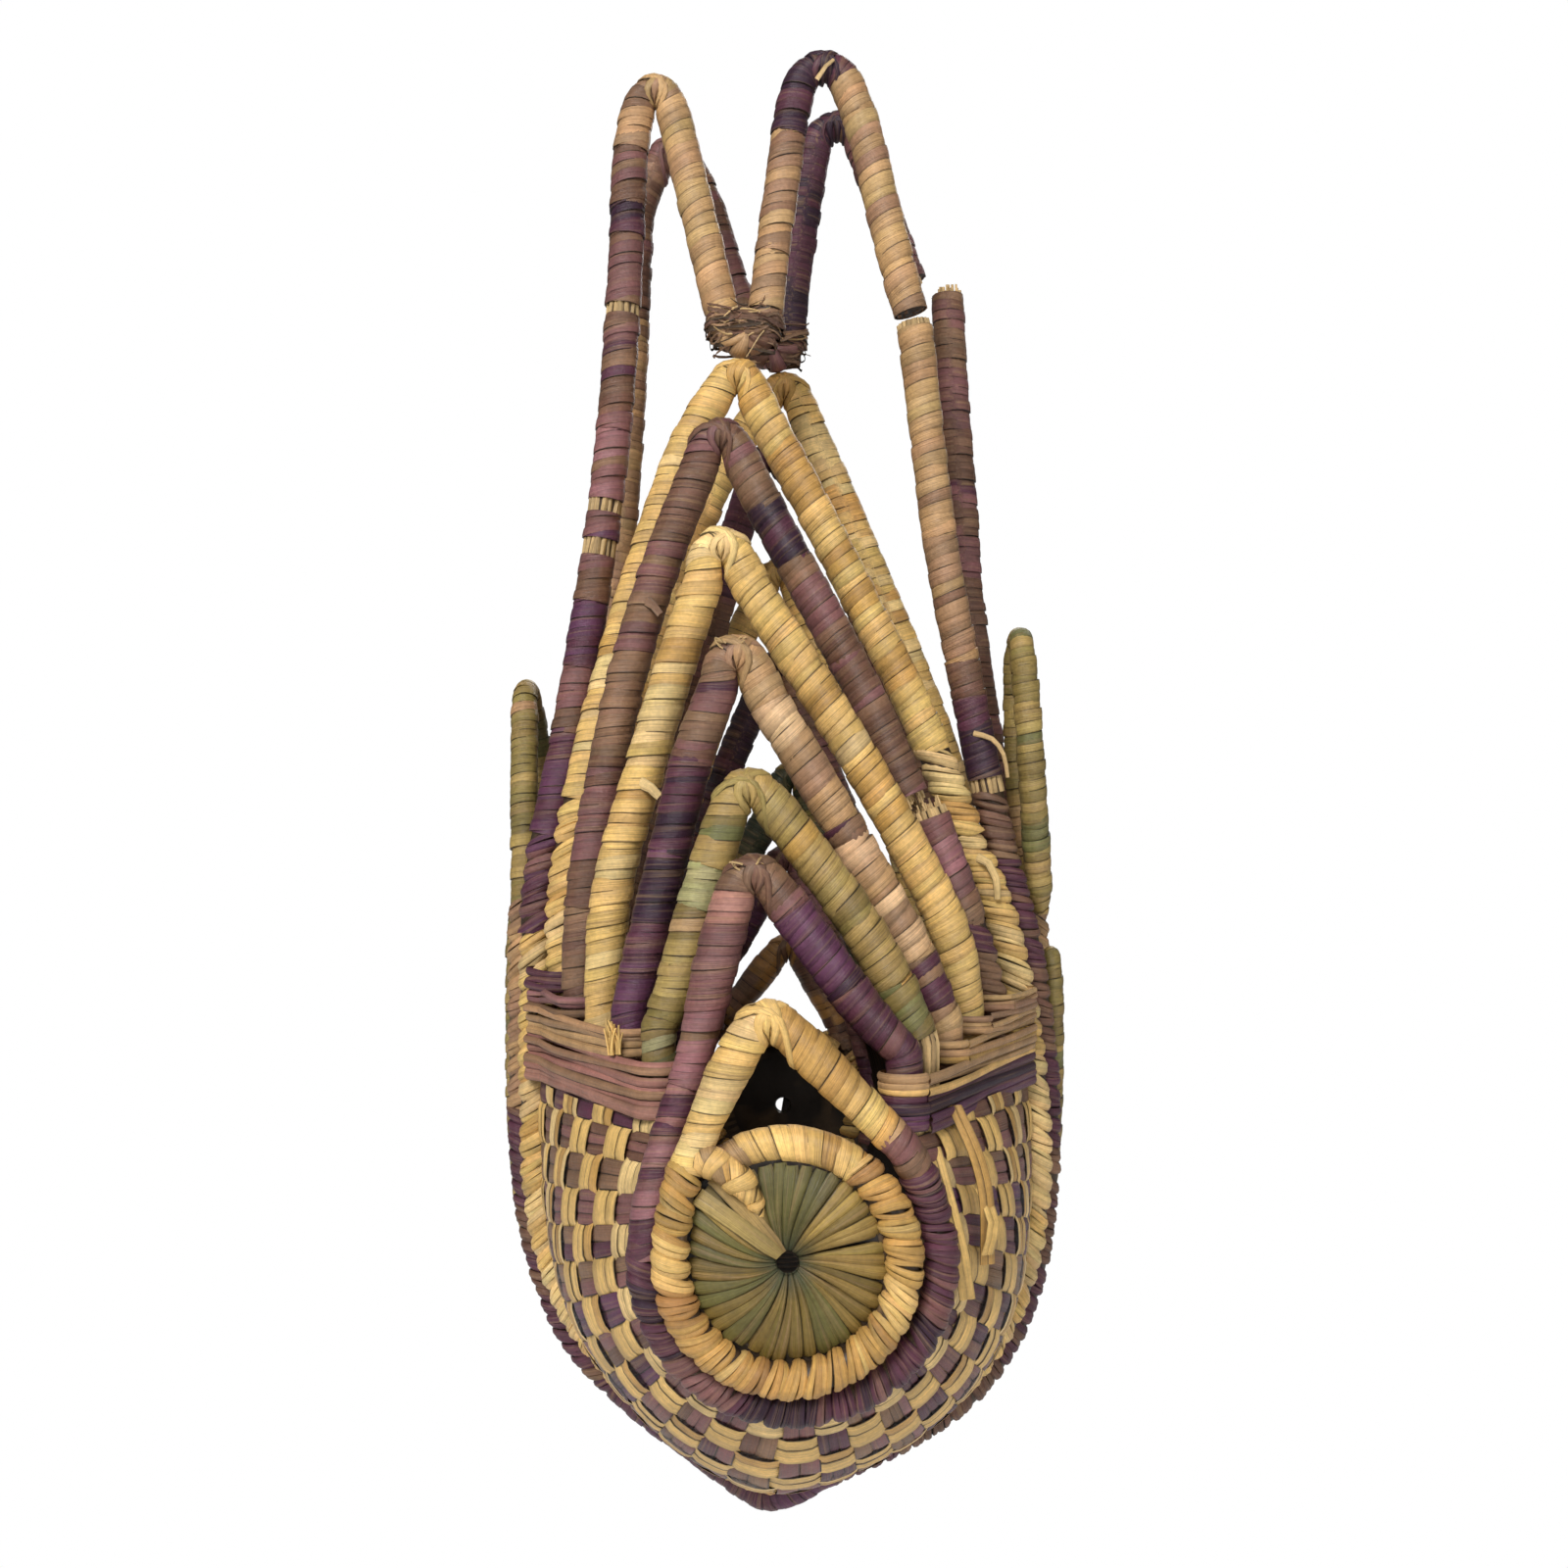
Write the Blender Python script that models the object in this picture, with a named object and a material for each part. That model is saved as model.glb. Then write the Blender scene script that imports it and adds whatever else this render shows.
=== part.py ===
"""Woven basket pouch in straw rods wound with dyed raffia.

Two half shells stand back to back, the back one turned half round and with loops that
are bent in their own way. Each is one long spiral: a rosette, two rings that rise into
pointed loops, five more pointed loops that step back to the middle, and an M-shaped
handle hoop with two ears. A woven wall runs round the rings from band to band. Along
the middle, coils close the pouch round a pointed keel, and a narrow pointed loop stands
at each side.

Metres, +Z up, the front rosette facing -Y. The origin is the hanging point, midway
between the undersides of the two ears of a hoop and midway between the hoops.
"""
import math

import bmesh
import bpy
from mathutils import Vector

# Overall sizes
HEIGHT = 0.357
HALF_WIDTH = 0.070

# Rods, coils and sheet parts
ROD_DIAMETER = 0.0090
HOOP_DIAMETER = 0.0086
RING_DIAMETER = 0.0073
COIL_DIAMETER = 0.0080
BELT_DIAMETER = 0.0050
SIDE_LOOP_DIAMETER = 0.0068
WALL_THICKNESS = 0.0026
BAND_COVER = 0.0013
LASHING_THICKNESS = 0.0014
LASHING_HEIGHT = 0.0065
ROSETTE_RADIUS = 0.0182
ROSETTE_HOLE_RADIUS = 0.0023
ROSETTE_THICKNESS = 0.0064

# Spacing and fits
CLEARANCE = 0.0003
COIL_GAP = 0.00035
HEM_GAP = 0.0007
KEEL_STEP = 0.0045
LOOP_PITCH = 0.0120
RING_STEP = 0.0058
RING_SLACK = 0.0016
RING_SHIFT = 0.0010
RIM_TUCK = 0.0042
LOOP_1_TUCK = 0.0012
LOOP_2_TUCK = 0.0042
SEAM_RUN = 0.0030
HOOP_EAR_SPACING = 0.0300
SOCKET_DEPTH = 0.0065
LEG_RUN_IN = 0.0030
BREAK_GAP = 0.0024
TAPER_LENGTH = 0.0150
THIN_SHARE = 0.75
WALL_BULGE = 0.0085
WALL_EDGE_BULGE = 0.0040
CUT_OVERRUN = 0.0060

# Bends
TIP_BEND_RADIUS = 0.0062
LOW_EAR_BEND_RADIUS = 0.0054
TALL_EAR_BEND_RADIUS = 0.0074
SIDE_LOOP_BEND_RADIUS = 0.0042

# Resolution of the curves
POINT_SPACING = 0.0125
ARC_STEPS = 5
RING_STEP_ANGLE = math.radians(22.5)
RIM_START_ANGLE = math.radians(114)
ROD_RESOLUTION = 2
FINE_RESOLUTION = 1
WALL_STATIONS = 26
WALL_COLUMNS = 6
ROSETTE_SEGMENTS = 28
SOCKET_SIDES = 12
LASHING_SIDES = 20

# Places as shares of HALF_WIDTH and HEIGHT, x to the right and z up from the keel
ROSETTE_SHARES = (0.0, 0.234)
WALL_TOP_SHARE = 0.305
LEFT_BAND_TOP_SHARES = (0.340, 0.378)
RIGHT_BAND_TOP_SHARES = (0.334, 0.366)

# Pointed loops of each half, as seen from its own front: left leg, tip, right leg
FRONT_LOOPS = {
    1: (
        ((-0.302, 0.270), (-0.250, 0.299), (-0.163, 0.338)),
        (-0.051, 0.364),
        ((0.177, 0.325), (0.292, 0.302)),
    ),
    2: (
        ((-0.382, 0.267), (-0.340, 0.297), (-0.272, 0.338), (-0.189, 0.406)),
        (-0.093, 0.443),
        ((0.103, 0.399), (0.242, 0.363), (0.335, 0.334)),
    ),
    3: (
        ((-0.375, 0.345), (-0.324, 0.380), (-0.272, 0.417), (-0.195, 0.466)),
        (-0.109, 0.492),
        ((0.092, 0.449), (0.249, 0.404), (0.398, 0.345)),
    ),
    4: (
        ((-0.480, 0.350), (-0.447, 0.385), (-0.358, 0.456), (-0.284, 0.514), (-0.200, 0.560)),
        (-0.150, 0.573),
        ((-0.060, 0.548), (0.020, 0.522), (0.201, 0.462), (0.380, 0.399), (0.486, 0.349)),
    ),
    5: (
        ((-0.582, 0.358), (-0.542, 0.438), (-0.450, 0.504), (-0.339, 0.577), (-0.253, 0.630)),
        (-0.203, 0.644),
        ((-0.110, 0.620), (0.000, 0.586), (0.178, 0.531), (0.379, 0.462), (0.520, 0.405), (0.572, 0.360)),
    ),
    6: (
        ((-0.676, 0.364), (-0.643, 0.443), (-0.592, 0.499), (-0.509, 0.574), (-0.388, 0.649),
         (-0.276, 0.704)),
        (-0.212, 0.720),
        ((-0.120, 0.696), (-0.021, 0.659), (0.154, 0.596), (0.298, 0.540), (0.403, 0.492)),
    ),
    7: (
        ((-0.752, 0.370), (-0.735, 0.436), (-0.689, 0.494), (-0.613, 0.558),
         (-0.481, 0.649), (-0.333, 0.731), (-0.238, 0.763)),
        (-0.165, 0.7755),
        ((-0.087, 0.755), (0.056, 0.703), (0.246, 0.631), (0.429, 0.560), (0.546, 0.507), (0.629, 0.465)),
    ),
}
BACK_LOOPS = {
    1: (
        ((-0.302, 0.270), (-0.250, 0.299), (-0.150, 0.339)),
        (-0.025, 0.370),
        ((0.180, 0.327), (0.292, 0.302)),
    ),
    2: (
        ((-0.382, 0.267), (-0.340, 0.297), (-0.272, 0.338), (-0.150, 0.405)),
        (-0.018, 0.447),
        ((0.115, 0.408), (0.240, 0.366), (0.335, 0.334)),
    ),
    3: (
        ((-0.375, 0.345), (-0.312, 0.385), (-0.232, 0.430), (-0.130, 0.488)),
        (-0.042, 0.516),
        ((0.060, 0.485), (0.170, 0.445), (0.290, 0.398), (0.398, 0.345)),
    ),
    4: (
        ((-0.480, 0.350), (-0.430, 0.388), (-0.310, 0.455), (-0.180, 0.520), (-0.060, 0.584)),
        (0.020, 0.605),
        ((0.095, 0.585), (0.160, 0.556), (0.256, 0.508), (0.365, 0.444), (0.445, 0.390), (0.486, 0.349)),
    ),
    5: (
        ((-0.582, 0.358), (-0.510, 0.440), (-0.380, 0.512), (-0.225, 0.588), (-0.075, 0.652)),
        (0.015, 0.674),
        ((0.095, 0.656), (0.180, 0.622), (0.290, 0.560), (0.410, 0.485), (0.520, 0.408), (0.572, 0.360)),
    ),
    6: (
        ((-0.676, 0.364), (-0.620, 0.440), (-0.540, 0.505), (-0.435, 0.575), (-0.270, 0.658),
         (-0.060, 0.738)),
        (0.055, 0.757),
        ((0.135, 0.732), (0.200, 0.690), (0.290, 0.620), (0.385, 0.548), (0.489, 0.472)),
    ),
    7: (
        ((-0.752, 0.370), (-0.735, 0.425), (-0.690, 0.475), (-0.600, 0.532), (-0.500, 0.583),
         (-0.400, 0.630), (-0.297, 0.676), (-0.215, 0.714), (-0.105, 0.762)),
        (0.000, 0.7945),
        ((0.105, 0.775), (0.220, 0.741), (0.330, 0.690), (0.420, 0.633), (0.510, 0.560), (0.575, 0.507),
         (0.629, 0.465)),
    ),
}
LOOP_6_WHOLE_LEG_SHARES = ((0.584, 0.414), (0.664, 0.356))
LOOP_6_STUMP_SHARES = ((0.462, 0.483), (0.498, 0.464), (0.588, 0.414), (0.664, 0.356))

# Handle hoop of each half. Both are broken on the same side of the pouch: the front one
# on its right leg, below the tall ear, and the back one on its left leg.
FRONT_HOOP = {
    "left": (
        (-0.845, 0.435), (-0.825, 0.462), (-0.754, 0.528), (-0.673, 0.620),
        (-0.596, 0.732), (-0.549, 0.864), (-0.533, 0.932),
    ),
    "left_ear": (-0.449, 0.970),
    "left_bend": LOW_EAR_BEND_RADIUS,
    "down": ((-0.300, 0.888),),
    "valley": (-0.139, 0.801),
    "lashing": 0.828,
    "up": ((-0.045, 0.860), (-0.005, 0.915), (0.022, 0.954)),
    "right_ear": (0.133, 0.986),
    "right_bend": TALL_EAR_BEND_RADIUS,
    "right": (
        (0.275, 0.944), (0.346, 0.887), (0.415, 0.836), (0.446, 0.815), (0.487, 0.751),
        (0.546, 0.663), (0.631, 0.576), (0.693, 0.515), (0.751, 0.462),
    ),
}
BACK_HOOP = {
    "left": (
        (-0.845, 0.435), (-0.825, 0.462), (-0.775, 0.520), (-0.722, 0.585),
        (-0.682, 0.650), (-0.664, 0.707), (-0.634, 0.775), (-0.615, 0.842), (-0.610, 0.862),
    ),
    "left_top": ((-0.470, 0.872), (-0.410, 0.906), (-0.345, 0.940)),
    "left_ear": (-0.200, 0.984),
    "left_bend": TALL_EAR_BEND_RADIUS,
    "down": ((-0.096, 0.950), (-0.064, 0.907), (-0.032, 0.862)),
    "valley": (0.044, 0.8175),
    "lashing": 0.8445,
    "up": ((0.201, 0.875), (0.280, 0.925)),
    "right_ear": (0.415, 0.966),
    "right_bend": LOW_EAR_BEND_RADIUS,
    "right": (
        (0.540, 0.925), (0.555, 0.883), (0.575, 0.785), (0.592, 0.733), (0.608, 0.685),
        (0.632, 0.645), (0.665, 0.592), (0.710, 0.525), (0.751, 0.462),
    ),
}
BREAK_SHARE = 0.822

# Coils from the right base, round the bottom, to the left base
BORDER_SHARES = (
    (0.700, 0.437), (0.768, 0.396), (0.829, 0.336), (0.861, 0.270), (0.856, 0.217), (0.815, 0.172),
    (0.730, 0.132), (0.580, 0.095), (0.367, 0.066), (0.150, 0.045), (-0.050, 0.033), (-0.185, 0.043),
    (-0.324, 0.061), (-0.510, 0.094), (-0.689, 0.134), (-0.787, 0.172), (-0.841, 0.217),
    (-0.858, 0.270), (-0.862, 0.336), (-0.858, 0.404),
)
KEEL_SHARES = (
    (0.805, 0.425), (0.857, 0.381), (0.898, 0.320), (0.912, 0.266), (0.900, 0.212), (0.859, 0.165),
    (0.781, 0.124), (0.634, 0.084), (0.410, 0.054), (0.160, 0.031), (-0.052, 0.013), (-0.165, 0.025),
    (-0.330, 0.049), (-0.535, 0.080), (-0.730, 0.121), (-0.833, 0.165), (-0.890, 0.212),
    (-0.914, 0.266), (-0.918, 0.333), (-0.916, 0.394), (-0.914, 0.424),
)
BELT_TIP_SHARES = ((0.958, 0.384), (-0.958, 0.412))
BELT_SHARES = (
    (0.962, 0.320), (0.955, 0.262), (0.930, 0.212), (0.870, 0.163), (0.775, 0.122), (0.620, 0.085),
    (0.400, 0.052), (0.190, 0.030),
)
BELT_BOTTOM_SHARE = 0.010

# The side loops: x and z shares, and y as a share of the keel coil's row
LEFT_SIDE_RISE_SHARES = ((-0.914, 0.458, -1.00), (-0.918, 0.500, -0.90), (-0.922, 0.540, -0.62))
LEFT_SIDE_TIP_SHARES = (-0.926, 0.569)
LEFT_SIDE_FALL_SHARES = (
    (-0.905, 0.535, 0.66), (-0.885, 0.500, 0.80), (-0.895, 0.465, 0.50), (-0.910, 0.441, 0.22),
)
RIGHT_SIDE_RISE_SHARES = ((0.895, 0.458, 1.00), (0.862, 0.505, 0.92), (0.848, 0.565, 0.66))
RIGHT_SIDE_TIP_SHARES = (0.845, 0.606)
RIGHT_SIDE_FALL_SHARES = (
    (0.856, 0.565, -0.66), (0.872, 0.510, -0.80), (0.895, 0.462, -0.45), (0.915, 0.425, -0.15),
    (0.925, 0.412, -0.05),
)

# Rows, worked out from the rods that lie in them
BELT_ROW = BELT_DIAMETER / 2 + COIL_GAP / 2
KEEL_ROW = BELT_ROW + (BELT_DIAMETER + COIL_DIAMETER) / 2 + COIL_GAP
BORDER_ROW = KEEL_ROW + math.sqrt((COIL_DIAMETER + COIL_GAP) ** 2 - KEEL_STEP ** 2)
LOOP_7_ROW = BORDER_ROW + (COIL_DIAMETER + ROD_DIAMETER) / 2 + COIL_GAP
RING_2_ROW = LOOP_7_ROW + 5 * LOOP_PITCH
RING_1_ROW = RING_2_ROW + RING_STEP
EAR_ROW = HOOP_EAR_SPACING / 2
RING_1_RADIUS = (ROSETTE_RADIUS + CLEARANCE + RING_DIAMETER / 2) / math.cos(RING_STEP_ANGLE / 2)
RING_2_RADIUS = RING_1_RADIUS + math.sqrt((RING_DIAMETER + CLEARANCE) ** 2 - RING_STEP ** 2) + RING_SLACK
EAR_TOP = (FRONT_HOOP["left_ear"][1] + FRONT_HOOP["right_ear"][1]) / 2 * HEIGHT
HANG_HEIGHT = EAR_TOP - HOOP_DIAMETER / 2
WALL_TOP = WALL_TOP_SHARE * HEIGHT - HANG_HEIGHT
FOOT_RADIUS = RING_DIAMETER / 2

# Colour, roughness of each finish
FINISHES = {
    "straw_yellow": ((0.72, 0.50, 0.22), 0.55),
    "straw_tan": ((0.55, 0.38, 0.21), 0.58),
    "olive_green": ((0.27, 0.25, 0.11), 0.55),
    "plum_purple": ((0.16, 0.07, 0.11), 0.58),
    "mauve_brown": ((0.27, 0.15, 0.12), 0.58),
    "pink_tan": ((0.47, 0.28, 0.20), 0.58),
}


def clear_scene():
    for old in list(bpy.data.objects):
        bpy.data.objects.remove(old, do_unlink=True)


def finish(name):
    """The material of one colour of raffia, made once."""
    material = bpy.data.materials.get(name)
    if material is None:
        colour, roughness = FINISHES[name]
        material = bpy.data.materials.new(name)
        material.use_nodes = True
        shader = material.node_tree.nodes["Principled BSDF"]
        shader.inputs["Base Color"].default_value = (*colour, 1)
        shader.inputs["Roughness"].default_value = roughness
        shader.inputs["Metallic"].default_value = 0
    return material


def make_half(name, turn):
    """The empty that carries one half shell, turned about the upright axis."""
    half = bpy.data.objects.new(name, None)
    half.rotation_euler.z = turn
    bpy.context.collection.objects.link(half)
    return half


def add_object(name, data, colour, parent):
    made = bpy.data.objects.new(name, data)
    if colour:
        data.materials.append(finish(colour))
    made.parent = parent
    bpy.context.collection.objects.link(made)
    return made


def place(shares, row):
    """A point from its x and z shares, at the depth of a row in front of the middle."""
    return Vector((shares[0] * HALF_WIDTH, -row, shares[1] * HEIGHT - HANG_HEIGHT))


def blend(first, second, share):
    return first + (second - first) * share


def ease(share):
    held = min(1, max(0, share))
    return held * held * (3 - 2 * held)


def spline_point(before, start, end, after, share):
    """A point on the centripetal curve that runs from start to end."""
    knot_1 = math.sqrt((start - before).length)
    knot_2 = knot_1 + math.sqrt((end - start).length)
    knot_3 = knot_2 + math.sqrt((after - end).length)
    here = blend(knot_1, knot_2, share)
    low = blend(before, start, here / knot_1)
    middle = blend(start, end, (here - knot_1) / (knot_2 - knot_1))
    high = blend(end, after, (here - knot_2) / (knot_3 - knot_2))
    first = blend(low, middle, here / knot_2)
    second = blend(middle, high, (here - knot_1) / (knot_3 - knot_1))
    return blend(first, second, (here - knot_1) / (knot_2 - knot_1))


def smooth(points, closed=False):
    """A smooth run through the points, with a point about every POINT_SPACING."""
    count = len(points)
    spans = count if closed else count - 1
    run = []
    for index in range(spans):
        start = points[index]
        end = points[(index + 1) % count]
        if closed:
            before = points[index - 1]
            after = points[(index + 2) % count]
        else:
            before = points[index - 1] if index else start * 2 - end
            after = points[index + 2] if index + 2 < count else end * 2 - start
        steps = max(1, round((end - start).length / POINT_SPACING))
        for step in range(steps):
            run.append(spline_point(before, start, end, after, step / steps))
    if not closed:
        run.append(points[-1])
    return run


def bend(before, top, after, radius, up=1):
    """An arc over the top point, touched by the lines from the points on either side."""
    centre = top - Vector((0, 0, up * radius))
    angles = []
    for point, side in ((before, 1), (after, -1)):
        reach = Vector((point.x - centre.x, point.z - centre.z))
        lean = math.acos(min(1, radius / reach.length))
        angles.append(math.atan2(up * reach.y, reach.x) % (2 * math.pi) - side * lean)
    first, last = angles
    if last > first:
        last -= 2 * math.pi
    arc = []
    for step in range(ARC_STEPS + 1):
        angle = blend(first, last, step / ARC_STEPS)
        arc.append(centre + Vector((math.cos(angle), 0, up * math.sin(angle))) * radius)
    return arc


def end_direction(path):
    return (path[-1] - path[-2]).normalized()


def seam_from(path):
    """Where the next turn of the spiral starts, a hair past the end of the last."""
    start = path[-1] + end_direction(path) * CLEARANCE
    return [start, start + end_direction(path) * SEAM_RUN]


def rod(name, path, diameter, colour, parent, closed=False, swell=None, resolution=ROD_RESOLUTION):
    """A wound straw rod along the path; swell gives each point's share of the diameter."""
    curve = bpy.data.curves.new(name, "CURVE")
    curve.dimensions = "3D"
    curve.bevel_depth = diameter / 2
    curve.bevel_resolution = resolution
    curve.use_fill_caps = not closed
    spline = curve.splines.new("POLY")
    spline.points.add(len(path) - 1)
    spline.use_cyclic_u = closed
    for index, (point, place_at) in enumerate(zip(spline.points, path)):
        point.co = (*place_at, 1)
        if swell:
            point.radius = swell[index]
    return add_object(name, curve, colour, parent)


def ring_point(centre, radius, angle):
    return centre + Vector((math.cos(angle), 0, math.sin(angle))) * radius


def taper(path):
    """Shares of the rod diameter: rings and feet are thinner than the free legs."""
    ring_share = RING_DIAMETER / ROD_DIAMETER
    shares = []
    for point in path:
        low = band_top(-point.y, point.x) if point.y > THIN_SHARE * LOOP_2_TUCK - RING_2_ROW else WALL_TOP
        shares.append(blend(ring_share, 1, ease((point.z - low) / TAPER_LENGTH)))
    return shares


def loop_1_path(loops):
    """The rim over the rosette, the ring round it, and the first pointed loop."""
    left_shares, tip_shares, right_shares = loops[1]
    centre = place(ROSETTE_SHARES, RING_1_ROW)
    points = []
    steps = round((RIM_START_ANGLE + math.pi) / RING_STEP_ANGLE)
    for step in range(steps + 1):
        angle = blend(RIM_START_ANGLE, -math.pi, step / steps)
        tuck = RIM_TUCK * (1 - ease(2 * step / steps))
        points.append(ring_point(centre, RING_1_RADIUS, angle) + Vector((0, tuck, 0)))
    arch_row = RING_1_ROW - LOOP_1_TUCK
    left = [place(shares, RING_1_ROW) for shares in left_shares[:1]]
    left += [place(shares, arch_row) for shares in left_shares[1:]]
    right = [place(shares, arch_row) for shares in right_shares]
    tip = bend(left[-1], place(tip_shares, arch_row), right[0], TIP_BEND_RADIUS)
    return smooth(points + left + tip + right)


def loop_2_path(last_turn, loops):
    """The second ring, begun where the first loop ends, and the second pointed loop."""
    left_shares, tip_shares, right_shares = loops[2]
    centre = place(ROSETTE_SHARES, RING_2_ROW) + Vector((RING_SHIFT, 0, -RING_SHIFT))
    points = seam_from(last_turn)
    first = math.radians(18)
    steps = round((first + math.pi) / RING_STEP_ANGLE)
    for step in range(steps + 1):
        points.append(ring_point(centre, RING_2_RADIUS, blend(first, -math.pi, step / steps)))
    arch_row = RING_2_ROW - LOOP_2_TUCK
    left = [place(left_shares[0], RING_2_ROW)]
    left.append(place(left_shares[1], RING_2_ROW - LOOP_2_TUCK / 2))
    left += [place(shares, arch_row) for shares in left_shares[2:]]
    right = [place(shares, arch_row) for shares in right_shares[:-1]]
    right.append(leg_top(right_shares[-1], arch_row, 1))
    tip = bend(left[-1], place(tip_shares, arch_row), right[0], TIP_BEND_RADIUS)
    return smooth(points + left + tip + right) + [leg_end(right[-1], 1)]


def band_top(row, side):
    """Height of a band's top edge, which climbs from the rings to the border coil."""
    shares = LEFT_BAND_TOP_SHARES if side < 0 else RIGHT_BAND_TOP_SHARES
    share = (RING_2_ROW - row) / (RING_2_ROW - BORDER_ROW)
    return blend(shares[0], shares[1], share) * HEIGHT - HANG_HEIGHT


def leg_top(shares, row, side):
    """Where a leg turns straight down, just above its band."""
    top = place(shares, row)
    top.z = band_top(row, side) + LEG_RUN_IN
    return top


def leg_end(top, side):
    """The foot of the leg that turns down at top, in its socket in the band."""
    return Vector((top.x, top.y, band_top(-top.y, side) - SOCKET_DEPTH))


def loop_row(number):
    return LOOP_7_ROW + (7 - number) * LOOP_PITCH


def arch_path(number, shares_lists, whole=True):
    """A pointed loop from its left socket; whole takes it down to its right socket."""
    row = loop_row(number)
    left_shares, tip_shares, right_shares = shares_lists
    left = [leg_top(left_shares[0], row, -1)] + [place(shares, row) for shares in left_shares[1:]]
    right = [place(shares, row) for shares in right_shares[:-1]]
    right.append(leg_top(right_shares[-1], row, 1) if whole else place(right_shares[-1], row))
    tip = bend(left[-1], place(tip_shares, row), right[0], TIP_BEND_RADIUS)
    path = [leg_end(left[0], -1)] + smooth(left + tip + right)
    if whole:
        path.append(leg_end(right[-1], 1))
    return path


def stump_path():
    """The lower piece of the front sixth loop's broken right leg."""
    row = loop_row(6)
    points = [place(shares, row) for shares in LOOP_6_STUMP_SHARES[:-1]]
    points.append(leg_top(LOOP_6_STUMP_SHARES[-1], row, 1))
    return smooth(points) + [leg_end(points[-1], 1)]


def loop_7_path(loops):
    """The last pointed loop, whose right leg lies over into the border coil's row."""
    left_shares, tip_shares, right_shares = loops[7]
    tip_row = EAR_ROW + RIM_TUCK / 2

    def row_at(shares, base_row):
        rise = (shares[1] - left_shares[0][1]) / (tip_shares[1] - left_shares[0][1])
        return blend(base_row, tip_row, ease(rise))

    left = [leg_top(left_shares[0], LOOP_7_ROW, -1)]
    left += [place(shares, row_at(shares, LOOP_7_ROW)) for shares in left_shares[1:]]
    right = [place(shares, row_at(shares, BORDER_ROW)) for shares in right_shares[:-1]]
    right.append(place(right_shares[-1], BORDER_ROW))
    tip = bend(left[-1], place(tip_shares, tip_row), right[0], TIP_BEND_RADIUS)
    return [leg_end(left[0], -1)] + smooth(left + tip + right)


def coil_path(last_turn, shares_list, row):
    """A coil of the body, begun where the last turn of the spiral ends."""
    return smooth(seam_from(last_turn) + [place(shares, row) for shares in shares_list])


def hoop_paths(last_turn, hoop):
    """The handle hoop: up the left, over two ears with a valley between, down the right.

    Where the left leg is broken, its lower piece comes first, as a path of its own.
    """
    low = FRONT_HOOP["left"][0][1]
    high = FRONT_HOOP["left"][-1][1]

    def row_at(shares, base_row):
        return blend(base_row, EAR_ROW, ease((shares[1] - low) / (high - low)))

    left = seam_from(last_turn) + [place(shares, row_at(shares, BORDER_ROW)) for shares in hoop["left"]]
    pieces = []
    if "left_top" in hoop:
        pieces.append(smooth(left))
        left = [place(shares, EAR_ROW) for shares in hoop["left_top"]]
    down = [place(shares, EAR_ROW) for shares in hoop["down"]]
    up = [place(shares, EAR_ROW) for shares in hoop["up"]]
    right = [place(shares, row_at(shares, KEEL_ROW)) for shares in hoop["right"]]
    left_ear = bend(left[-1], place(hoop["left_ear"], EAR_ROW), down[0], hoop["left_bend"])
    valley_radius = HOOP_DIAMETER / 2 + CLEARANCE
    valley = bend(down[-1], place(hoop["valley"], EAR_ROW), up[0], valley_radius, up=-1)
    right_ear = bend(up[-1], place(hoop["right_ear"], EAR_ROW), right[0], hoop["right_bend"])
    pieces.append(smooth(left + left_ear + down + valley + up + right_ear + right))
    return pieces


def cut_path(path, height, gap):
    """Two pieces of a path, parted where its last run down passes the height."""
    index = max(i for i in range(len(path) - 1) if path[i].z > height >= path[i + 1].z)
    above, below = path[index], path[index + 1]
    cut = blend(above, below, (above.z - height) / (above.z - below.z))
    along = (below - above).normalized()
    return path[:index + 1] + [cut], [cut + along * gap] + path[index + 1:]


def side_loop_path(start, rise_shares, tip_shares, fall_shares):
    """A narrow pointed loop in the plane of the pouch's side."""
    def at(shares):
        return Vector((shares[0] * HALF_WIDTH, shares[2] * KEEL_ROW, shares[1] * HEIGHT - HANG_HEIGHT))

    rise = [at(shares) for shares in rise_shares]
    fall = [at(shares) for shares in fall_shares]
    top = at((tip_shares[0], tip_shares[1], 0))
    inward = math.copysign(1, rise[-1].y)
    arc = []
    for step in range(ARC_STEPS + 1):
        angle = blend(0.1, 0.9, step / ARC_STEPS) * math.pi
        across = inward * math.cos(angle) * SIDE_LOOP_BEND_RADIUS
        arc.append(top + Vector((0, across, (math.sin(angle) - 1) * SIDE_LOOP_BEND_RADIUS)))
    return smooth(start + rise + arc + fall)


def belt_path():
    """The narrow belt between the keel coils, folded to a point at both sides."""
    right = [Vector((x * HALF_WIDTH, 0, z * HEIGHT - HANG_HEIGHT)) for x, z in BELT_SHARES]
    bottom = Vector((0, 0, BELT_BOTTOM_SHARE * HEIGHT - HANG_HEIGHT))
    left = [Vector((-point.x, 0, point.z)) for point in reversed(right)]
    tips = [Vector((x * HALF_WIDTH, 0, z * HEIGHT - HANG_HEIGHT)) for x, z in BELT_TIP_SHARES]
    forward = Vector((0, -BELT_ROW, 0))
    front = [point + forward for point in right + [bottom] + left]
    back = [point - forward for point in reversed(right + [bottom] + left)]
    folds = []
    for tip, order in ((tips[1], 1), (tips[0], -1)):
        fold = []
        for step in range(ARC_STEPS):
            lean = blend(-math.pi, math.pi, (step + 0.5) / ARC_STEPS) / 2
            fold.append(tip + Vector((0, order * math.sin(lean), math.cos(lean) - 1)) * BELT_ROW)
        folds.append(fold)
    return smooth(front + folds[0] + back + folds[1], closed=True)


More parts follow.
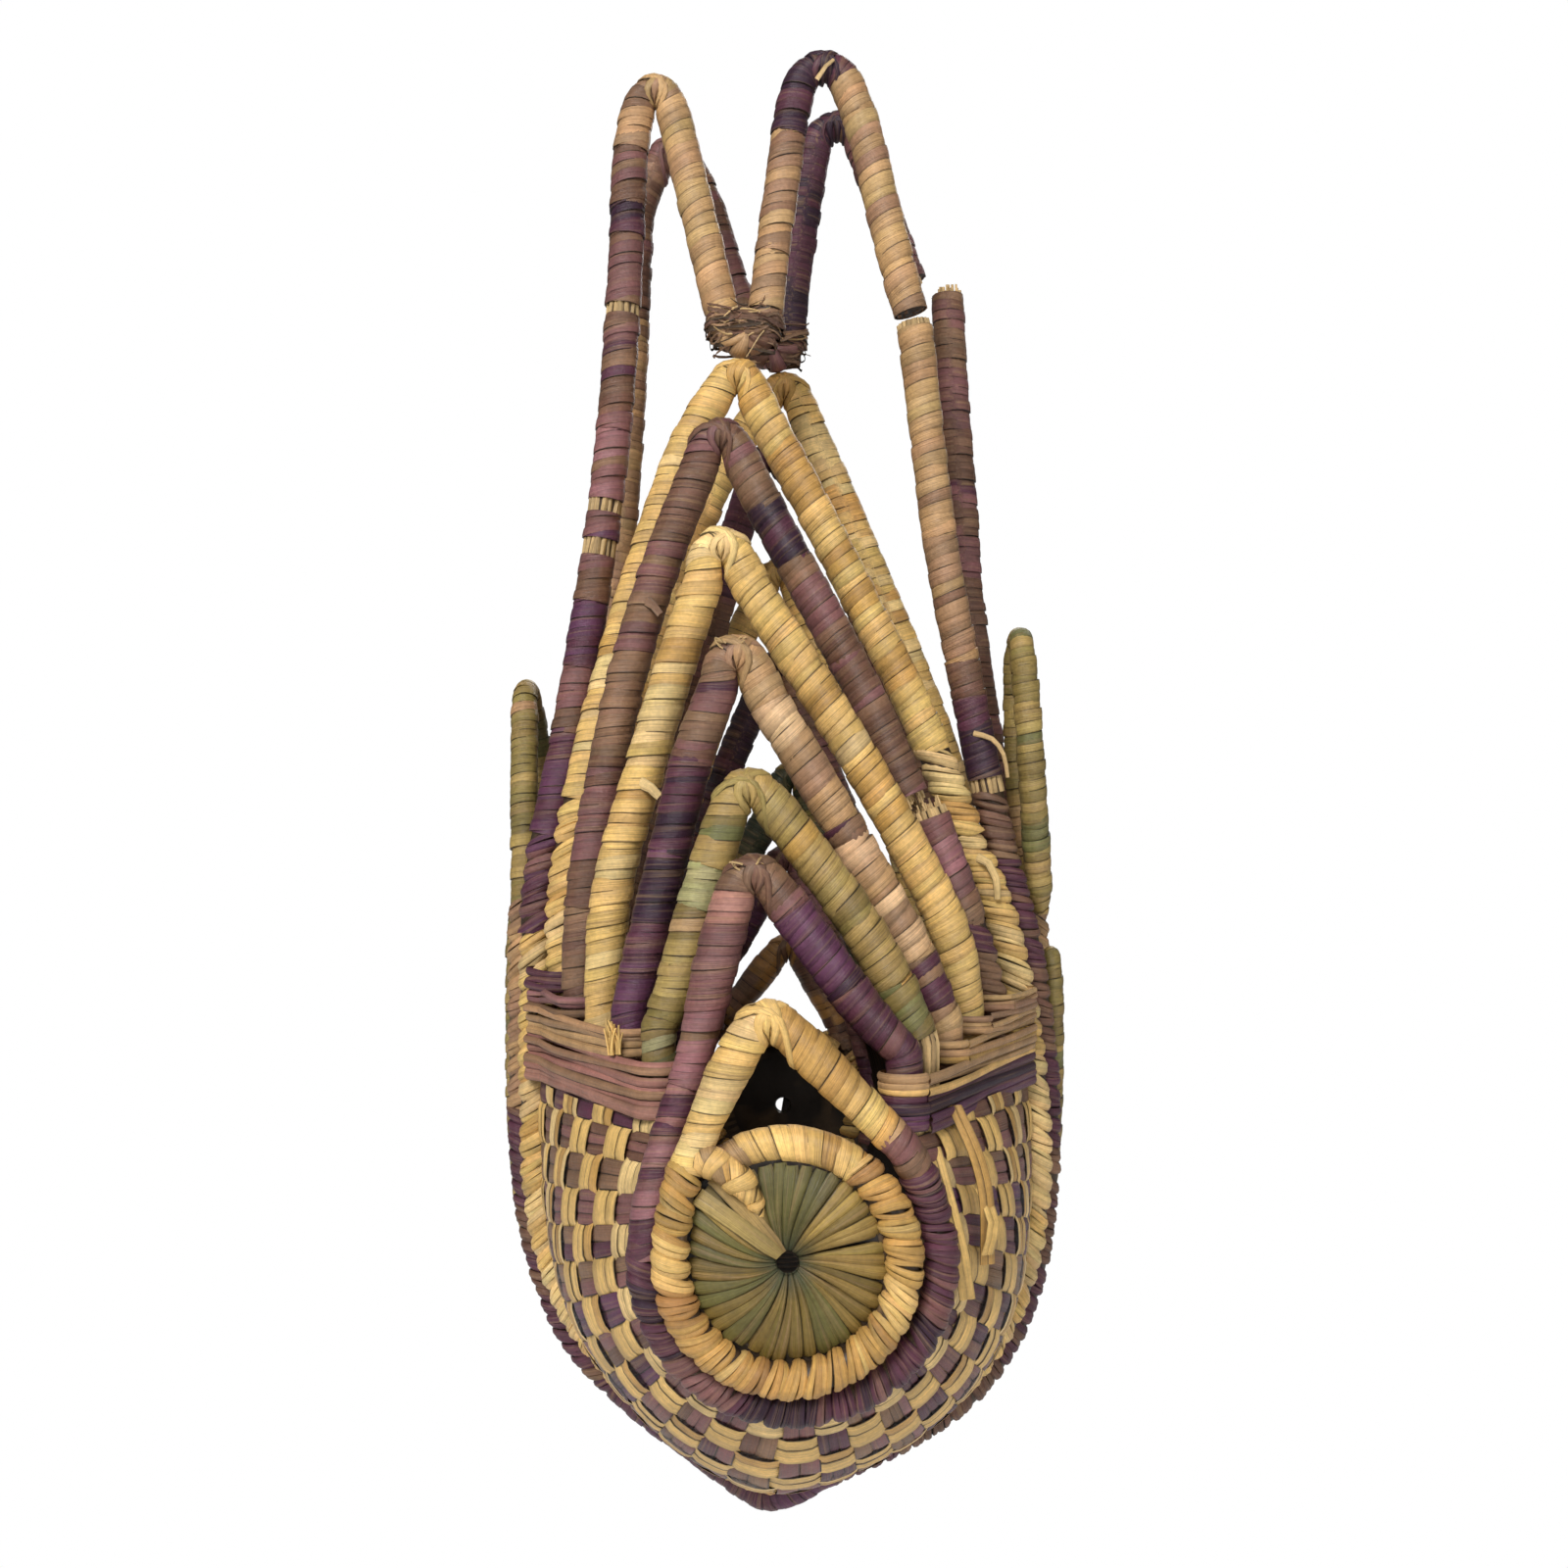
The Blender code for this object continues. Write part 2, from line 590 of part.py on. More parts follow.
def resample(path, count):
    """Points at even steps of length along a path."""
    lengths = [0.0]
    for start, end in zip(path, path[1:]):
        lengths.append(lengths[-1] + (end - start).length)
    found = []
    for step in range(count):
        target = lengths[-1] * step / (count - 1)
        index = max(i for i in range(len(path) - 1) if lengths[i] <= target or i == 0)
        span = lengths[index + 1] - lengths[index]
        found.append(blend(path[index], path[index + 1], min(1, (target - lengths[index]) / span)))
    return found


def lower_run(path, height):
    """The stretch of a coil that lies below a height."""
    return [point for point in path if point.z <= height]


def squared(direction, path, index):
    """The part of a direction that is square to the path, as a unit step."""
    run = path[min(index + 1, len(path) - 1)] - path[max(index - 1, 0)]
    return (direction - run * (direction.dot(run) / run.length_squared)).normalized()


def woven_wall(name, ring, border, parent):
    """The woven sheet from the second ring to the border coil, from band to band."""
    inner = resample(lower_run(ring, WALL_TOP), WALL_STATIONS)
    outer = resample(lower_run(border, WALL_TOP), WALL_STATIONS)
    grid = []
    for station, (near, far) in enumerate(zip(inner, outer)):
        share = station / (WALL_STATIONS - 1)
        along = (far - near).normalized()
        start = near + squared(along, inner, station) * (RING_DIAMETER / 2 + HEM_GAP)
        end = far - squared(along, outer, station) * (COIL_DIAMETER / 2 + HEM_GAP)
        path_step = inner[min(station + 1, WALL_STATIONS - 1)] - inner[max(station - 1, 0)]
        path_step += outer[min(station + 1, WALL_STATIONS - 1)] - outer[max(station - 1, 0)]
        outward = along.cross(path_step).normalized()
        if outward.dot(near - place(ROSETTE_SHARES, 0)) < 0:
            outward.negate()
        swell = blend(WALL_EDGE_BULGE, WALL_BULGE, math.sin(math.pi * share))
        column = []
        for step in range(WALL_COLUMNS):
            across = step / (WALL_COLUMNS - 1)
            point = blend(start, end, across) + outward * swell * math.sin(math.pi * across)
            if station in (0, WALL_STATIONS - 1):
                point.z = WALL_TOP
            column.append(point)
        grid.append(column)
    return sheet(name, grid, WALL_THICKNESS, parent)


def grid_normal(grid, row, column):
    rows, columns = len(grid), len(grid[0])
    down = grid[min(row + 1, rows - 1)][column] - grid[max(row - 1, 0)][column]
    across = grid[row][min(column + 1, columns - 1)] - grid[row][max(column - 1, 0)]
    return down.cross(across).normalized()


def sheet(name, grid, thickness, parent):
    """A closed solid of even thickness about a grid of points."""
    mesh = bpy.data.meshes.new(name)
    shell = bmesh.new()
    rows, columns = len(grid), len(grid[0])
    sides = []
    for face in (0.5, -0.5):
        layer = []
        for row in range(rows):
            line = []
            for column in range(columns):
                normal = grid_normal(grid, row, column)
                if row in (0, rows - 1):
                    normal.z = 0
                    normal.normalize()
                line.append(shell.verts.new(grid[row][column] + normal * thickness * face))
            layer.append(line)
        sides.append(layer)
    front, back = sides
    for row in range(rows - 1):
        for column in range(columns - 1):
            for layer, flip in ((front, False), (back, True)):
                corners = [layer[row][column], layer[row + 1][column],
                           layer[row + 1][column + 1], layer[row][column + 1]]
                shell.faces.new(corners[::-1] if flip else corners)
    rim = [(row, 0) for row in range(rows)] + [(rows - 1, column) for column in range(1, columns)]
    rim += [(row, columns - 1) for row in range(rows - 2, -1, -1)]
    rim += [(0, column) for column in range(columns - 2, 0, -1)]
    for here, following in zip(rim, rim[1:] + rim[:1]):
        shell.faces.new([front[following[0]][following[1]], front[here[0]][here[1]],
                         back[here[0]][here[1]], back[following[0]][following[1]]])
    bmesh.ops.recalc_face_normals(shell, faces=shell.faces)
    shell.to_mesh(mesh)
    shell.free()
    mesh.shade_smooth()
    mesh.set_sharp_from_angle(angle=math.radians(50))
    return add_object(name, mesh, "mauve_brown", parent)


def weft_band(name, side, legs, inner_end, outer_end, parent):
    """The bands over the legs' feet: a bound slab with a socket for each leg."""
    floor = WALL_TOP + CLEARANCE
    flat = [Vector((point.x, point.y, 0)) for point in [inner_end] + legs + [outer_end]]
    half_thickness = FOOT_RADIUS + CLEARANCE + BAND_COVER
    shell = bmesh.new()
    rings = []
    for index, point in enumerate(flat):
        along = flat[min(index + 1, len(flat) - 1)] - flat[max(index - 1, 0)]
        outward = Vector((along.y, -along.x, 0)).normalized() * half_thickness
        ceiling = band_top(-point.y, side)
        corners = []
        for face, level in ((outward, floor), (outward, ceiling), (-outward, ceiling), (-outward, floor)):
            corners.append(shell.verts.new(Vector((point.x, point.y, level)) + face))
        rings.append(corners)
    for ring, following in zip(rings, rings[1:]):
        for corner in range(4):
            shell.faces.new([ring[corner], ring[(corner + 1) % 4],
                             following[(corner + 1) % 4], following[corner]])
    shell.faces.new(rings[0][::-1])
    shell.faces.new(rings[-1])
    bmesh.ops.recalc_face_normals(shell, faces=shell.faces)
    mesh = bpy.data.meshes.new(name)
    shell.to_mesh(mesh)
    shell.free()
    band = add_object(name, mesh, "pink_tan", parent)
    for index, leg in enumerate(legs):
        cut_socket(band, f"{name}_socket_{index}", leg, side, parent)
    return band


def cut_socket(band, name, leg, side, parent):
    """A round socket for one leg, a clearance wider and deeper than its foot."""
    radius = (FOOT_RADIUS + CLEARANCE) / math.cos(math.pi / SOCKET_SIDES)
    bottom = leg_end(leg, side).z - CLEARANCE
    height = leg.z - bottom + CUT_OVERRUN
    cutter_mesh = bpy.data.meshes.new(name)
    drill = bmesh.new()
    bmesh.ops.create_cone(drill, cap_ends=True, segments=SOCKET_SIDES,
                          radius1=radius, radius2=radius, depth=height)
    drill.to_mesh(cutter_mesh)
    drill.free()
    cutter = add_object(name, cutter_mesh, None, parent)
    cutter.location = (leg.x, leg.y, bottom + height / 2)
    cutter.hide_render = True
    cutter.display_type = "WIRE"
    cut = band.modifiers.new(name, "BOOLEAN")
    cut.operation = "DIFFERENCE"
    cut.solver = "EXACT"
    cut.object = cutter


def rosette(name, parent):
    """The round of radial straws: a turned disc, full between its hole and its rim."""
    centre = place(ROSETTE_SHARES, RING_1_ROW)
    half_thickness = ROSETTE_THICKNESS / 2
    profile = []
    for radius_share, depth_share in ((0.0, 0.35), (0.10, 0.80), (0.35, 1.0), (0.80, 0.80), (1.0, 0.30)):
        radius = blend(ROSETTE_HOLE_RADIUS, ROSETTE_RADIUS, radius_share)
        profile.append((radius, -depth_share * half_thickness))
    profile += [(radius, -depth) for radius, depth in reversed(profile)]
    disc = bmesh.new()
    edge = [disc.verts.new((radius, depth, 0)) for radius, depth in profile]
    edges = [disc.edges.new(pair) for pair in zip(edge, edge[1:] + edge[:1])]
    bmesh.ops.spin(disc, geom=edge + edges, axis=(0, 1, 0), angle=2 * math.pi,
                   steps=ROSETTE_SEGMENTS, use_merge=True)
    bmesh.ops.recalc_face_normals(disc, faces=disc.faces)
    mesh = bpy.data.meshes.new(name)
    disc.to_mesh(mesh)
    disc.free()
    mesh.shade_smooth()
    made = add_object(name, mesh, "olive_green", parent)
    made.location = centre
    return made


def crossings(path, height):
    """The points where a path passes a height, from left to right."""
    found = []
    for start, end in zip(path, path[1:]):
        if (start.z - height) * (end.z - height) < 0:
            found.append(blend(start, end, (height - start.z) / (end.z - start.z)))
    return sorted(found, key=lambda point: point.x)


def valley_lashing(name, path, hoop, parent):
    """The straw bound round both inner legs of the ears, just above the valley."""
    middle = hoop["lashing"] * HEIGHT - HANG_HEIGHT
    valley_x = hoop["valley"][0] * HALF_WIDTH
    inside = HOOP_DIAMETER / 2 + 2 * CLEARANCE
    shell = bmesh.new()
    ring_verts = []
    for grow, step_up in ((0, -0.5), (LASHING_THICKNESS, -0.5), (LASHING_THICKNESS, 0.5), (0, 0.5)):
        level = middle + step_up * LASHING_HEIGHT
        found = crossings(path, level)
        legs = [max((leg for leg in found if leg.x < valley_x), key=lambda leg: leg.x),
                min((leg for leg in found if leg.x > valley_x), key=lambda leg: leg.x)]
        line = []
        for step in range(LASHING_SIDES):
            angle = 2 * math.pi * (step + 0.5) / LASHING_SIDES
            leg = legs[1] if math.cos(angle) > 0 else legs[0]
            radius = (inside + grow) / math.cos(math.pi / LASHING_SIDES)
            line.append(shell.verts.new((
                leg.x + math.cos(angle) * radius,
                leg.y + math.sin(angle) * radius,
                level,
            )))
        ring_verts.append(line)
    for line, following in zip(ring_verts, ring_verts[1:] + ring_verts[:1]):
        for step in range(LASHING_SIDES):
            after = (step + 1) % LASHING_SIDES
            shell.faces.new([line[step], line[after], following[after], following[step]])
    bmesh.ops.recalc_face_normals(shell, faces=shell.faces)
    mesh = bpy.data.meshes.new(name)
    shell.to_mesh(mesh)
    shell.free()
    mesh.shade_smooth()
    mesh.set_sharp_from_angle(angle=math.radians(40))
    return add_object(name, mesh, "straw_tan", parent)


def build_half(side_name, turn, loops, hoop, broken):
    """One half shell; broken says that its sixth loop and its hoop's right leg are broken."""
    half = make_half(f"{side_name}_half", turn)
    paths = {}
    paths[1] = loop_1_path(loops)
    paths[2] = loop_2_path(paths[1], loops)
    for number in (3, 4, 5, 6):
        left, tip, right = loops[number]
        whole = not (broken and number == 6)
        if number == 6 and whole:
            right = right + LOOP_6_WHOLE_LEG_SHARES
        paths[number] = arch_path(number, (left, tip, right), whole)
    paths[7] = loop_7_path(loops)
    rosette(f"{side_name}_rosette", half)
    colours = {1: "straw_yellow", 2: "plum_purple", 3: "olive_green", 4: "pink_tan",
               5: "straw_yellow", 6: "mauve_brown", 7: "straw_yellow"}
    for number, path in paths.items():
        rod(f"{side_name}_loop_{number}", path, ROD_DIAMETER, colours[number], half, swell=taper(path))
    if broken:
        stump = stump_path()
        rod(f"{side_name}_loop_6_stump", stump, ROD_DIAMETER, "mauve_brown", half, swell=taper(stump))

    border = coil_path(paths[7], BORDER_SHARES, BORDER_ROW)
    rod(f"{side_name}_border_coil", border, COIL_DIAMETER, "straw_yellow", half)
    *leg, whole_hoop = hoop_paths(border, hoop)
    if broken:
        upper, lower = cut_path(whole_hoop, BREAK_SHARE * HEIGHT - HANG_HEIGHT, BREAK_GAP)
        leg.append(lower)
    else:
        upper = whole_hoop
    rod(f"{side_name}_handle_hoop", upper, HOOP_DIAMETER, "straw_tan", half)
    rod(f"{side_name}_handle_leg", leg[0], HOOP_DIAMETER, "straw_tan", half)
    keel = coil_path(whole_hoop, KEEL_SHARES, KEEL_ROW)
    rod(f"{side_name}_keel_coil", keel, COIL_DIAMETER, "plum_purple", half)
    valley_lashing(f"{side_name}_valley_lashing", whole_hoop, hoop, half)

    woven_wall(f"{side_name}_woven_wall", paths[2], border, half)
    add_bands(side_name, paths, border, half)
    return keel


def add_bands(side_name, paths, border, half):
    left_legs = [paths[number][1] for number in (3, 4, 5, 6, 7)]
    right_legs = [paths[number][-2] for number in (2, 3, 4, 5)]
    right_legs.append(stump_path()[-2])
    for side, name, legs in ((-1, "left", left_legs), (1, "right", right_legs)):
        start = legs[0] - flat_direction(legs[0], legs[1]) * (FOOT_RADIUS + CLEARANCE + BAND_COVER)
        level = band_top(BORDER_ROW, side)
        coil = min((point for point in border if point.x * side > 0), key=lambda point: abs(point.z - level))
        along = flat_direction(legs[-1], coil)
        end = coil - along * (COIL_DIAMETER / 2 + HEM_GAP)
        weft_band(f"{side_name}_weft_band_{name}", side, legs, start, end, half)


def flat_direction(start, end):
    along = end - start
    along.z = 0
    return along.normalized()


def build_middle(keel):
    """The belt and the side loops, which both halves share."""
    rod("gusset_belt", belt_path(), BELT_DIAMETER, "olive_green", None, closed=True,
        resolution=FINE_RESOLUTION)
    front_end = seam_from(keel)
    back_end = [Vector((-point.x, -point.y, point.z)) for point in front_end]
    left = side_loop_path(front_end, LEFT_SIDE_RISE_SHARES, LEFT_SIDE_TIP_SHARES, LEFT_SIDE_FALL_SHARES)
    right = side_loop_path(back_end, RIGHT_SIDE_RISE_SHARES, RIGHT_SIDE_TIP_SHARES, RIGHT_SIDE_FALL_SHARES)
    rod("side_loop_left", left, SIDE_LOOP_DIAMETER, "olive_green", None)
    rod("side_loop_right", right, SIDE_LOOP_DIAMETER, "olive_green", None)


def main():
    clear_scene()
    front_keel = build_half("front", 0, FRONT_LOOPS, FRONT_HOOP, broken=True)
    build_half("back", math.pi, BACK_LOOPS, BACK_HOOP, broken=False)
    build_middle(front_keel)


main()
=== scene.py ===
"""Looks of the woven basket pouch: wound raffia rods, stitched coils, woven walls and rosettes.

Everything is made for the front half, in the same places as the solids, and turned half
round for the back half. Metres, +Z up, the front rosette facing -Y.
"""
import math

import bpy
import numpy as np
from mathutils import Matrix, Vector


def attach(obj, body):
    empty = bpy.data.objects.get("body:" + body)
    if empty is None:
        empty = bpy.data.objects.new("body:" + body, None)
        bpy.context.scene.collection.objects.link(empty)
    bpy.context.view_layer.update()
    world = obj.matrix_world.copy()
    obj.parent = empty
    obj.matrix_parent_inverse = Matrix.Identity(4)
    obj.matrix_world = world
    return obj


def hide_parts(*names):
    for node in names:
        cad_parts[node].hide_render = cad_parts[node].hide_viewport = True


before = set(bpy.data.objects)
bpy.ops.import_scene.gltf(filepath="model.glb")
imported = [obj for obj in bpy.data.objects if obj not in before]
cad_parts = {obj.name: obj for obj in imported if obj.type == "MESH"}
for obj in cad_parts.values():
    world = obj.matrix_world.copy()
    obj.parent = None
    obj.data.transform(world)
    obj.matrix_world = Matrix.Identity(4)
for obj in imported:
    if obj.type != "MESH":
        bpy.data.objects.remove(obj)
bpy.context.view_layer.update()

# Sizes of the solids, repeated here
HEIGHT = 0.357
HALF_WIDTH = 0.070
ROD_DIAMETER = 0.0090
HOOP_DIAMETER = 0.0086
RING_DIAMETER = 0.0073
COIL_DIAMETER = 0.0080
BELT_DIAMETER = 0.0050
SIDE_LOOP_DIAMETER = 0.0068
BAND_COVER = 0.0013
ROSETTE_RADIUS = 0.0182
ROSETTE_HOLE_RADIUS = 0.0023
CLEARANCE = 0.0003
COIL_GAP = 0.00035
HEM_GAP = 0.0007
KEEL_STEP = 0.0045
LOOP_PITCH = 0.0120
RING_STEP = 0.0058
RING_SLACK = 0.0016
RING_SHIFT = 0.0010
RIM_TUCK = 0.0042
LOOP_1_TUCK = 0.0012
LOOP_2_TUCK = 0.0042
SEAM_RUN = 0.0030
SEAM_OVERLAP = 0.0013
HOOP_EAR_SPACING = 0.0300
SOCKET_DEPTH = 0.0065
LEG_RUN_IN = 0.0030
BREAK_GAP = 0.0024
TAPER_LENGTH = 0.0150
THIN_SHARE = 0.75
WALL_BULGE = 0.0085
WALL_EDGE_BULGE = 0.0040
TIP_BEND_RADIUS = 0.0036
LOW_EAR_BEND_RADIUS = 0.0038
TALL_EAR_BEND_RADIUS = 0.0060
TIP_RISE = 0.0006
SIDE_LOOP_BEND_RADIUS = 0.0042
RING_STEP_ANGLE = math.radians(22.5)
RIM_START_ANGLE = math.radians(134)
RING_2_START_ANGLE = math.radians(18)
POINT_SPACING = 0.0030
ARC_STEPS = 8
FOLD_STEPS = 5

# Places as shares of HALF_WIDTH and HEIGHT, x to the right and z up from the keel.
# The pointed loops of each half, as seen from its own front: left leg, tip, right leg.
# Both handle hoops are broken on the same side of the pouch: the front one on its right
# leg, below the tall ear, and the back one on its left leg.
WALL_TOP_SHARE = 0.305
BREAK_SHARE = 0.822
BELT_BOTTOM_SHARE = 0.010
ROSETTE_SHARES = (0.0, 0.234)
LEFT_BAND_TOP_SHARES = (0.34, 0.378)
RIGHT_BAND_TOP_SHARES = (0.334, 0.366)
FRONT_LOOPS = {
    1: (((-0.302, 0.27), (-0.25, 0.299), (-0.163, 0.338)), (-0.051, 0.364), ((0.177, 0.325),
        (0.292, 0.302))),
    2: (((-0.382, 0.267), (-0.34, 0.297), (-0.272, 0.338), (-0.189, 0.406)), (-0.093, 0.443),
        ((0.103, 0.399), (0.242, 0.363), (0.335, 0.334))),
    3: (((-0.375, 0.345), (-0.324, 0.38), (-0.272, 0.417), (-0.195, 0.466)), (-0.109, 0.492),
        ((0.092, 0.449), (0.249, 0.404), (0.398, 0.345))),
    4: (((-0.48, 0.35), (-0.447, 0.385), (-0.358, 0.456), (-0.284, 0.514), (-0.2, 0.56)), (-0.15, 0.573),
        ((-0.06, 0.548), (0.02, 0.522), (0.201, 0.462), (0.38, 0.399), (0.486, 0.349))),
    5: (((-0.582, 0.358), (-0.542, 0.438), (-0.45, 0.504), (-0.339, 0.577), (-0.253, 0.63)),
        (-0.203, 0.644), ((-0.11, 0.62), (0.0, 0.586), (0.178, 0.531), (0.379, 0.462), (0.52, 0.405),
        (0.572, 0.36))),
    6: (((-0.676, 0.364), (-0.643, 0.443), (-0.592, 0.499), (-0.509, 0.574), (-0.388, 0.649),
        (-0.276, 0.704)), (-0.212, 0.72), ((-0.12, 0.696), (-0.021, 0.659), (0.154, 0.596), (0.298, 0.54),
        (0.403, 0.492))),
    7: (((-0.752, 0.37), (-0.735, 0.436), (-0.689, 0.494), (-0.613, 0.558), (-0.481, 0.649),
        (-0.333, 0.731), (-0.238, 0.763)), (-0.165, 0.7755), ((-0.087, 0.755), (0.056, 0.703),
        (0.246, 0.631), (0.429, 0.56), (0.546, 0.507), (0.629, 0.465))),
}
BACK_LOOPS = {
    1: (((-0.302, 0.27), (-0.25, 0.299), (-0.15, 0.339)), (-0.025, 0.37), ((0.18, 0.327), (0.292, 0.302))),
    2: (((-0.382, 0.267), (-0.34, 0.297), (-0.272, 0.338), (-0.15, 0.405)), (-0.018, 0.447),
        ((0.115, 0.408), (0.24, 0.366), (0.335, 0.334))),
    3: (((-0.375, 0.345), (-0.312, 0.385), (-0.232, 0.43), (-0.13, 0.488)), (-0.042, 0.516), ((0.06, 0.485),
        (0.17, 0.445), (0.29, 0.398), (0.398, 0.345))),
    4: (((-0.48, 0.35), (-0.43, 0.388), (-0.31, 0.455), (-0.18, 0.52), (-0.06, 0.584)), (0.02, 0.605),
        ((0.095, 0.585), (0.16, 0.556), (0.256, 0.508), (0.365, 0.444), (0.445, 0.39), (0.486, 0.349))),
    5: (((-0.582, 0.358), (-0.51, 0.44), (-0.38, 0.512), (-0.225, 0.588), (-0.075, 0.652)), (0.015, 0.674),
        ((0.095, 0.656), (0.18, 0.622), (0.29, 0.56), (0.41, 0.485), (0.52, 0.408), (0.572, 0.36))),
    6: (((-0.676, 0.364), (-0.62, 0.44), (-0.54, 0.505), (-0.435, 0.575), (-0.27, 0.658), (-0.06, 0.738)),
        (0.055, 0.757), ((0.135, 0.732), (0.2, 0.69), (0.29, 0.62), (0.385, 0.548), (0.489, 0.472))),
    7: (((-0.752, 0.37), (-0.735, 0.425), (-0.69, 0.475), (-0.6, 0.532), (-0.5, 0.583), (-0.4, 0.63),
        (-0.297, 0.676), (-0.215, 0.714), (-0.105, 0.762)), (0.0, 0.7945), ((0.105, 0.775), (0.22, 0.741),
        (0.33, 0.69), (0.42, 0.633), (0.51, 0.56), (0.575, 0.507), (0.629, 0.465))),
}
LOOP_6_WHOLE_LEG_SHARES = ((0.584, 0.414), (0.664, 0.356))
LOOP_6_STUMP_SHARES = ((0.462, 0.483), (0.498, 0.464), (0.588, 0.414), (0.664, 0.356))
FRONT_HOOP = {
    "left": ((-0.845, 0.435), (-0.825, 0.462), (-0.754, 0.528), (-0.673, 0.62), (-0.596, 0.732),
        (-0.549, 0.864), (-0.533, 0.932)),
    "left_ear": (-0.449, 0.97),
    "left_bend": LOW_EAR_BEND_RADIUS,
    "down": ((-0.3, 0.888),),
    "valley": (-0.139, 0.801),
    "lashing": 0.828,
    "up": ((-0.045, 0.86), (-0.005, 0.915), (0.022, 0.954)),
    "right_ear": (0.133, 0.986),
    "right_bend": TALL_EAR_BEND_RADIUS,
    "right": ((0.275, 0.944), (0.346, 0.887), (0.415, 0.836), (0.446, 0.815), (0.487, 0.751),
        (0.546, 0.663), (0.631, 0.576), (0.693, 0.515), (0.751, 0.462)),
}
BACK_HOOP = {
    "left": ((-0.845, 0.435), (-0.825, 0.462), (-0.775, 0.52), (-0.722, 0.585), (-0.682, 0.65),
        (-0.664, 0.707), (-0.634, 0.775), (-0.615, 0.842), (-0.61, 0.862)),
    "left_top": ((-0.47, 0.872), (-0.41, 0.906), (-0.345, 0.94)),
    "left_ear": (-0.2, 0.984),
    "left_bend": TALL_EAR_BEND_RADIUS,
    "down": ((-0.096, 0.95), (-0.064, 0.907), (-0.032, 0.862)),
    "valley": (0.044, 0.8175),
    "lashing": 0.8445,
    "up": ((0.201, 0.875), (0.28, 0.925)),
    "right_ear": (0.415, 0.966),
    "right_bend": LOW_EAR_BEND_RADIUS,
    "right": ((0.54, 0.925), (0.555, 0.883), (0.575, 0.785), (0.592, 0.733), (0.608, 0.685), (0.632, 0.645),
        (0.665, 0.592), (0.71, 0.525), (0.751, 0.462)),
}
BORDER_SHARES = ((0.7, 0.437), (0.768, 0.396), (0.829, 0.336), (0.861, 0.27), (0.856, 0.217),
    (0.815, 0.172), (0.73, 0.132), (0.58, 0.095), (0.367, 0.066), (0.15, 0.045), (-0.05, 0.033),
    (-0.185, 0.043), (-0.324, 0.061), (-0.51, 0.094), (-0.689, 0.134), (-0.787, 0.172), (-0.841, 0.217),
    (-0.858, 0.27), (-0.862, 0.336), (-0.858, 0.404))
KEEL_SHARES = ((0.805, 0.425), (0.857, 0.381), (0.898, 0.32), (0.912, 0.266), (0.9, 0.212), (0.859, 0.165),
    (0.781, 0.124), (0.634, 0.084), (0.41, 0.054), (0.16, 0.031), (-0.052, 0.013), (-0.165, 0.025),
    (-0.33, 0.049), (-0.535, 0.08), (-0.73, 0.121), (-0.833, 0.165), (-0.89, 0.212), (-0.914, 0.266),
    (-0.918, 0.333), (-0.916, 0.394), (-0.914, 0.424))
BELT_TIP_SHARES = ((0.958, 0.384), (-0.958, 0.412))
BELT_SHARES = ((0.962, 0.32), (0.955, 0.262), (0.93, 0.212), (0.87, 0.163), (0.775, 0.122), (0.62, 0.085),
    (0.4, 0.052), (0.19, 0.03))
# Loops on the belt: rise, tip and fall, each place with a third share, of the keel's row
SIDE_LOOPS = {
    "left": (((-0.914, 0.458, -1.0), (-0.918, 0.5, -0.9), (-0.922, 0.54, -0.62)), (-0.926, 0.569, 0),
        ((-0.905, 0.535, 0.66), (-0.885, 0.5, 0.8), (-0.895, 0.465, 0.5), (-0.91, 0.441, 0.22))),
    "right": (((0.895, 0.458, 1.0), (0.862, 0.505, 0.92), (0.848, 0.565, 0.66)), (0.845, 0.606, 0),
        ((0.856, 0.565, -0.66), (0.872, 0.51, -0.8), (0.895, 0.462, -0.45), (0.915, 0.425, -0.15),
        (0.925, 0.412, -0.05))),
}

# Rows and radii that follow from them
BELT_ROW = BELT_DIAMETER / 2 + COIL_GAP / 2
KEEL_ROW = BELT_ROW + (BELT_DIAMETER + COIL_DIAMETER) / 2 + COIL_GAP
BORDER_ROW = KEEL_ROW + math.sqrt((COIL_DIAMETER + COIL_GAP) ** 2 - KEEL_STEP ** 2)
LOOP_7_ROW = BORDER_ROW + (COIL_DIAMETER + ROD_DIAMETER) / 2 + COIL_GAP
RING_2_ROW = LOOP_7_ROW + 5 * LOOP_PITCH
RING_1_ROW = RING_2_ROW + RING_STEP
EAR_ROW = HOOP_EAR_SPACING / 2
RING_1_RADIUS = (ROSETTE_RADIUS + CLEARANCE + RING_DIAMETER / 2) / math.cos(RING_STEP_ANGLE / 2)
RING_2_RADIUS = RING_1_RADIUS + math.sqrt((RING_DIAMETER + CLEARANCE) ** 2 - RING_STEP ** 2) + RING_SLACK
EAR_TOP = (FRONT_HOOP["left_ear"][1] + FRONT_HOOP["right_ear"][1]) / 2 * HEIGHT
HANG_HEIGHT = EAR_TOP - HOOP_DIAMETER / 2
WALL_TOP = WALL_TOP_SHARE * HEIGHT - HANG_HEIGHT
FOOT_RADIUS = RING_DIAMETER / 2

# The camera: its place and its framing
CAMERA_PLACE = (-0.0026, -0.395, 0.1655 - HANG_HEIGHT)
CAMERA_LENS = 36.0
CAMERA_SENSOR = 36.0
CAMERA_SHIFT = (0.00625, 0.0356)
CAMERA_NEAR = 0.01

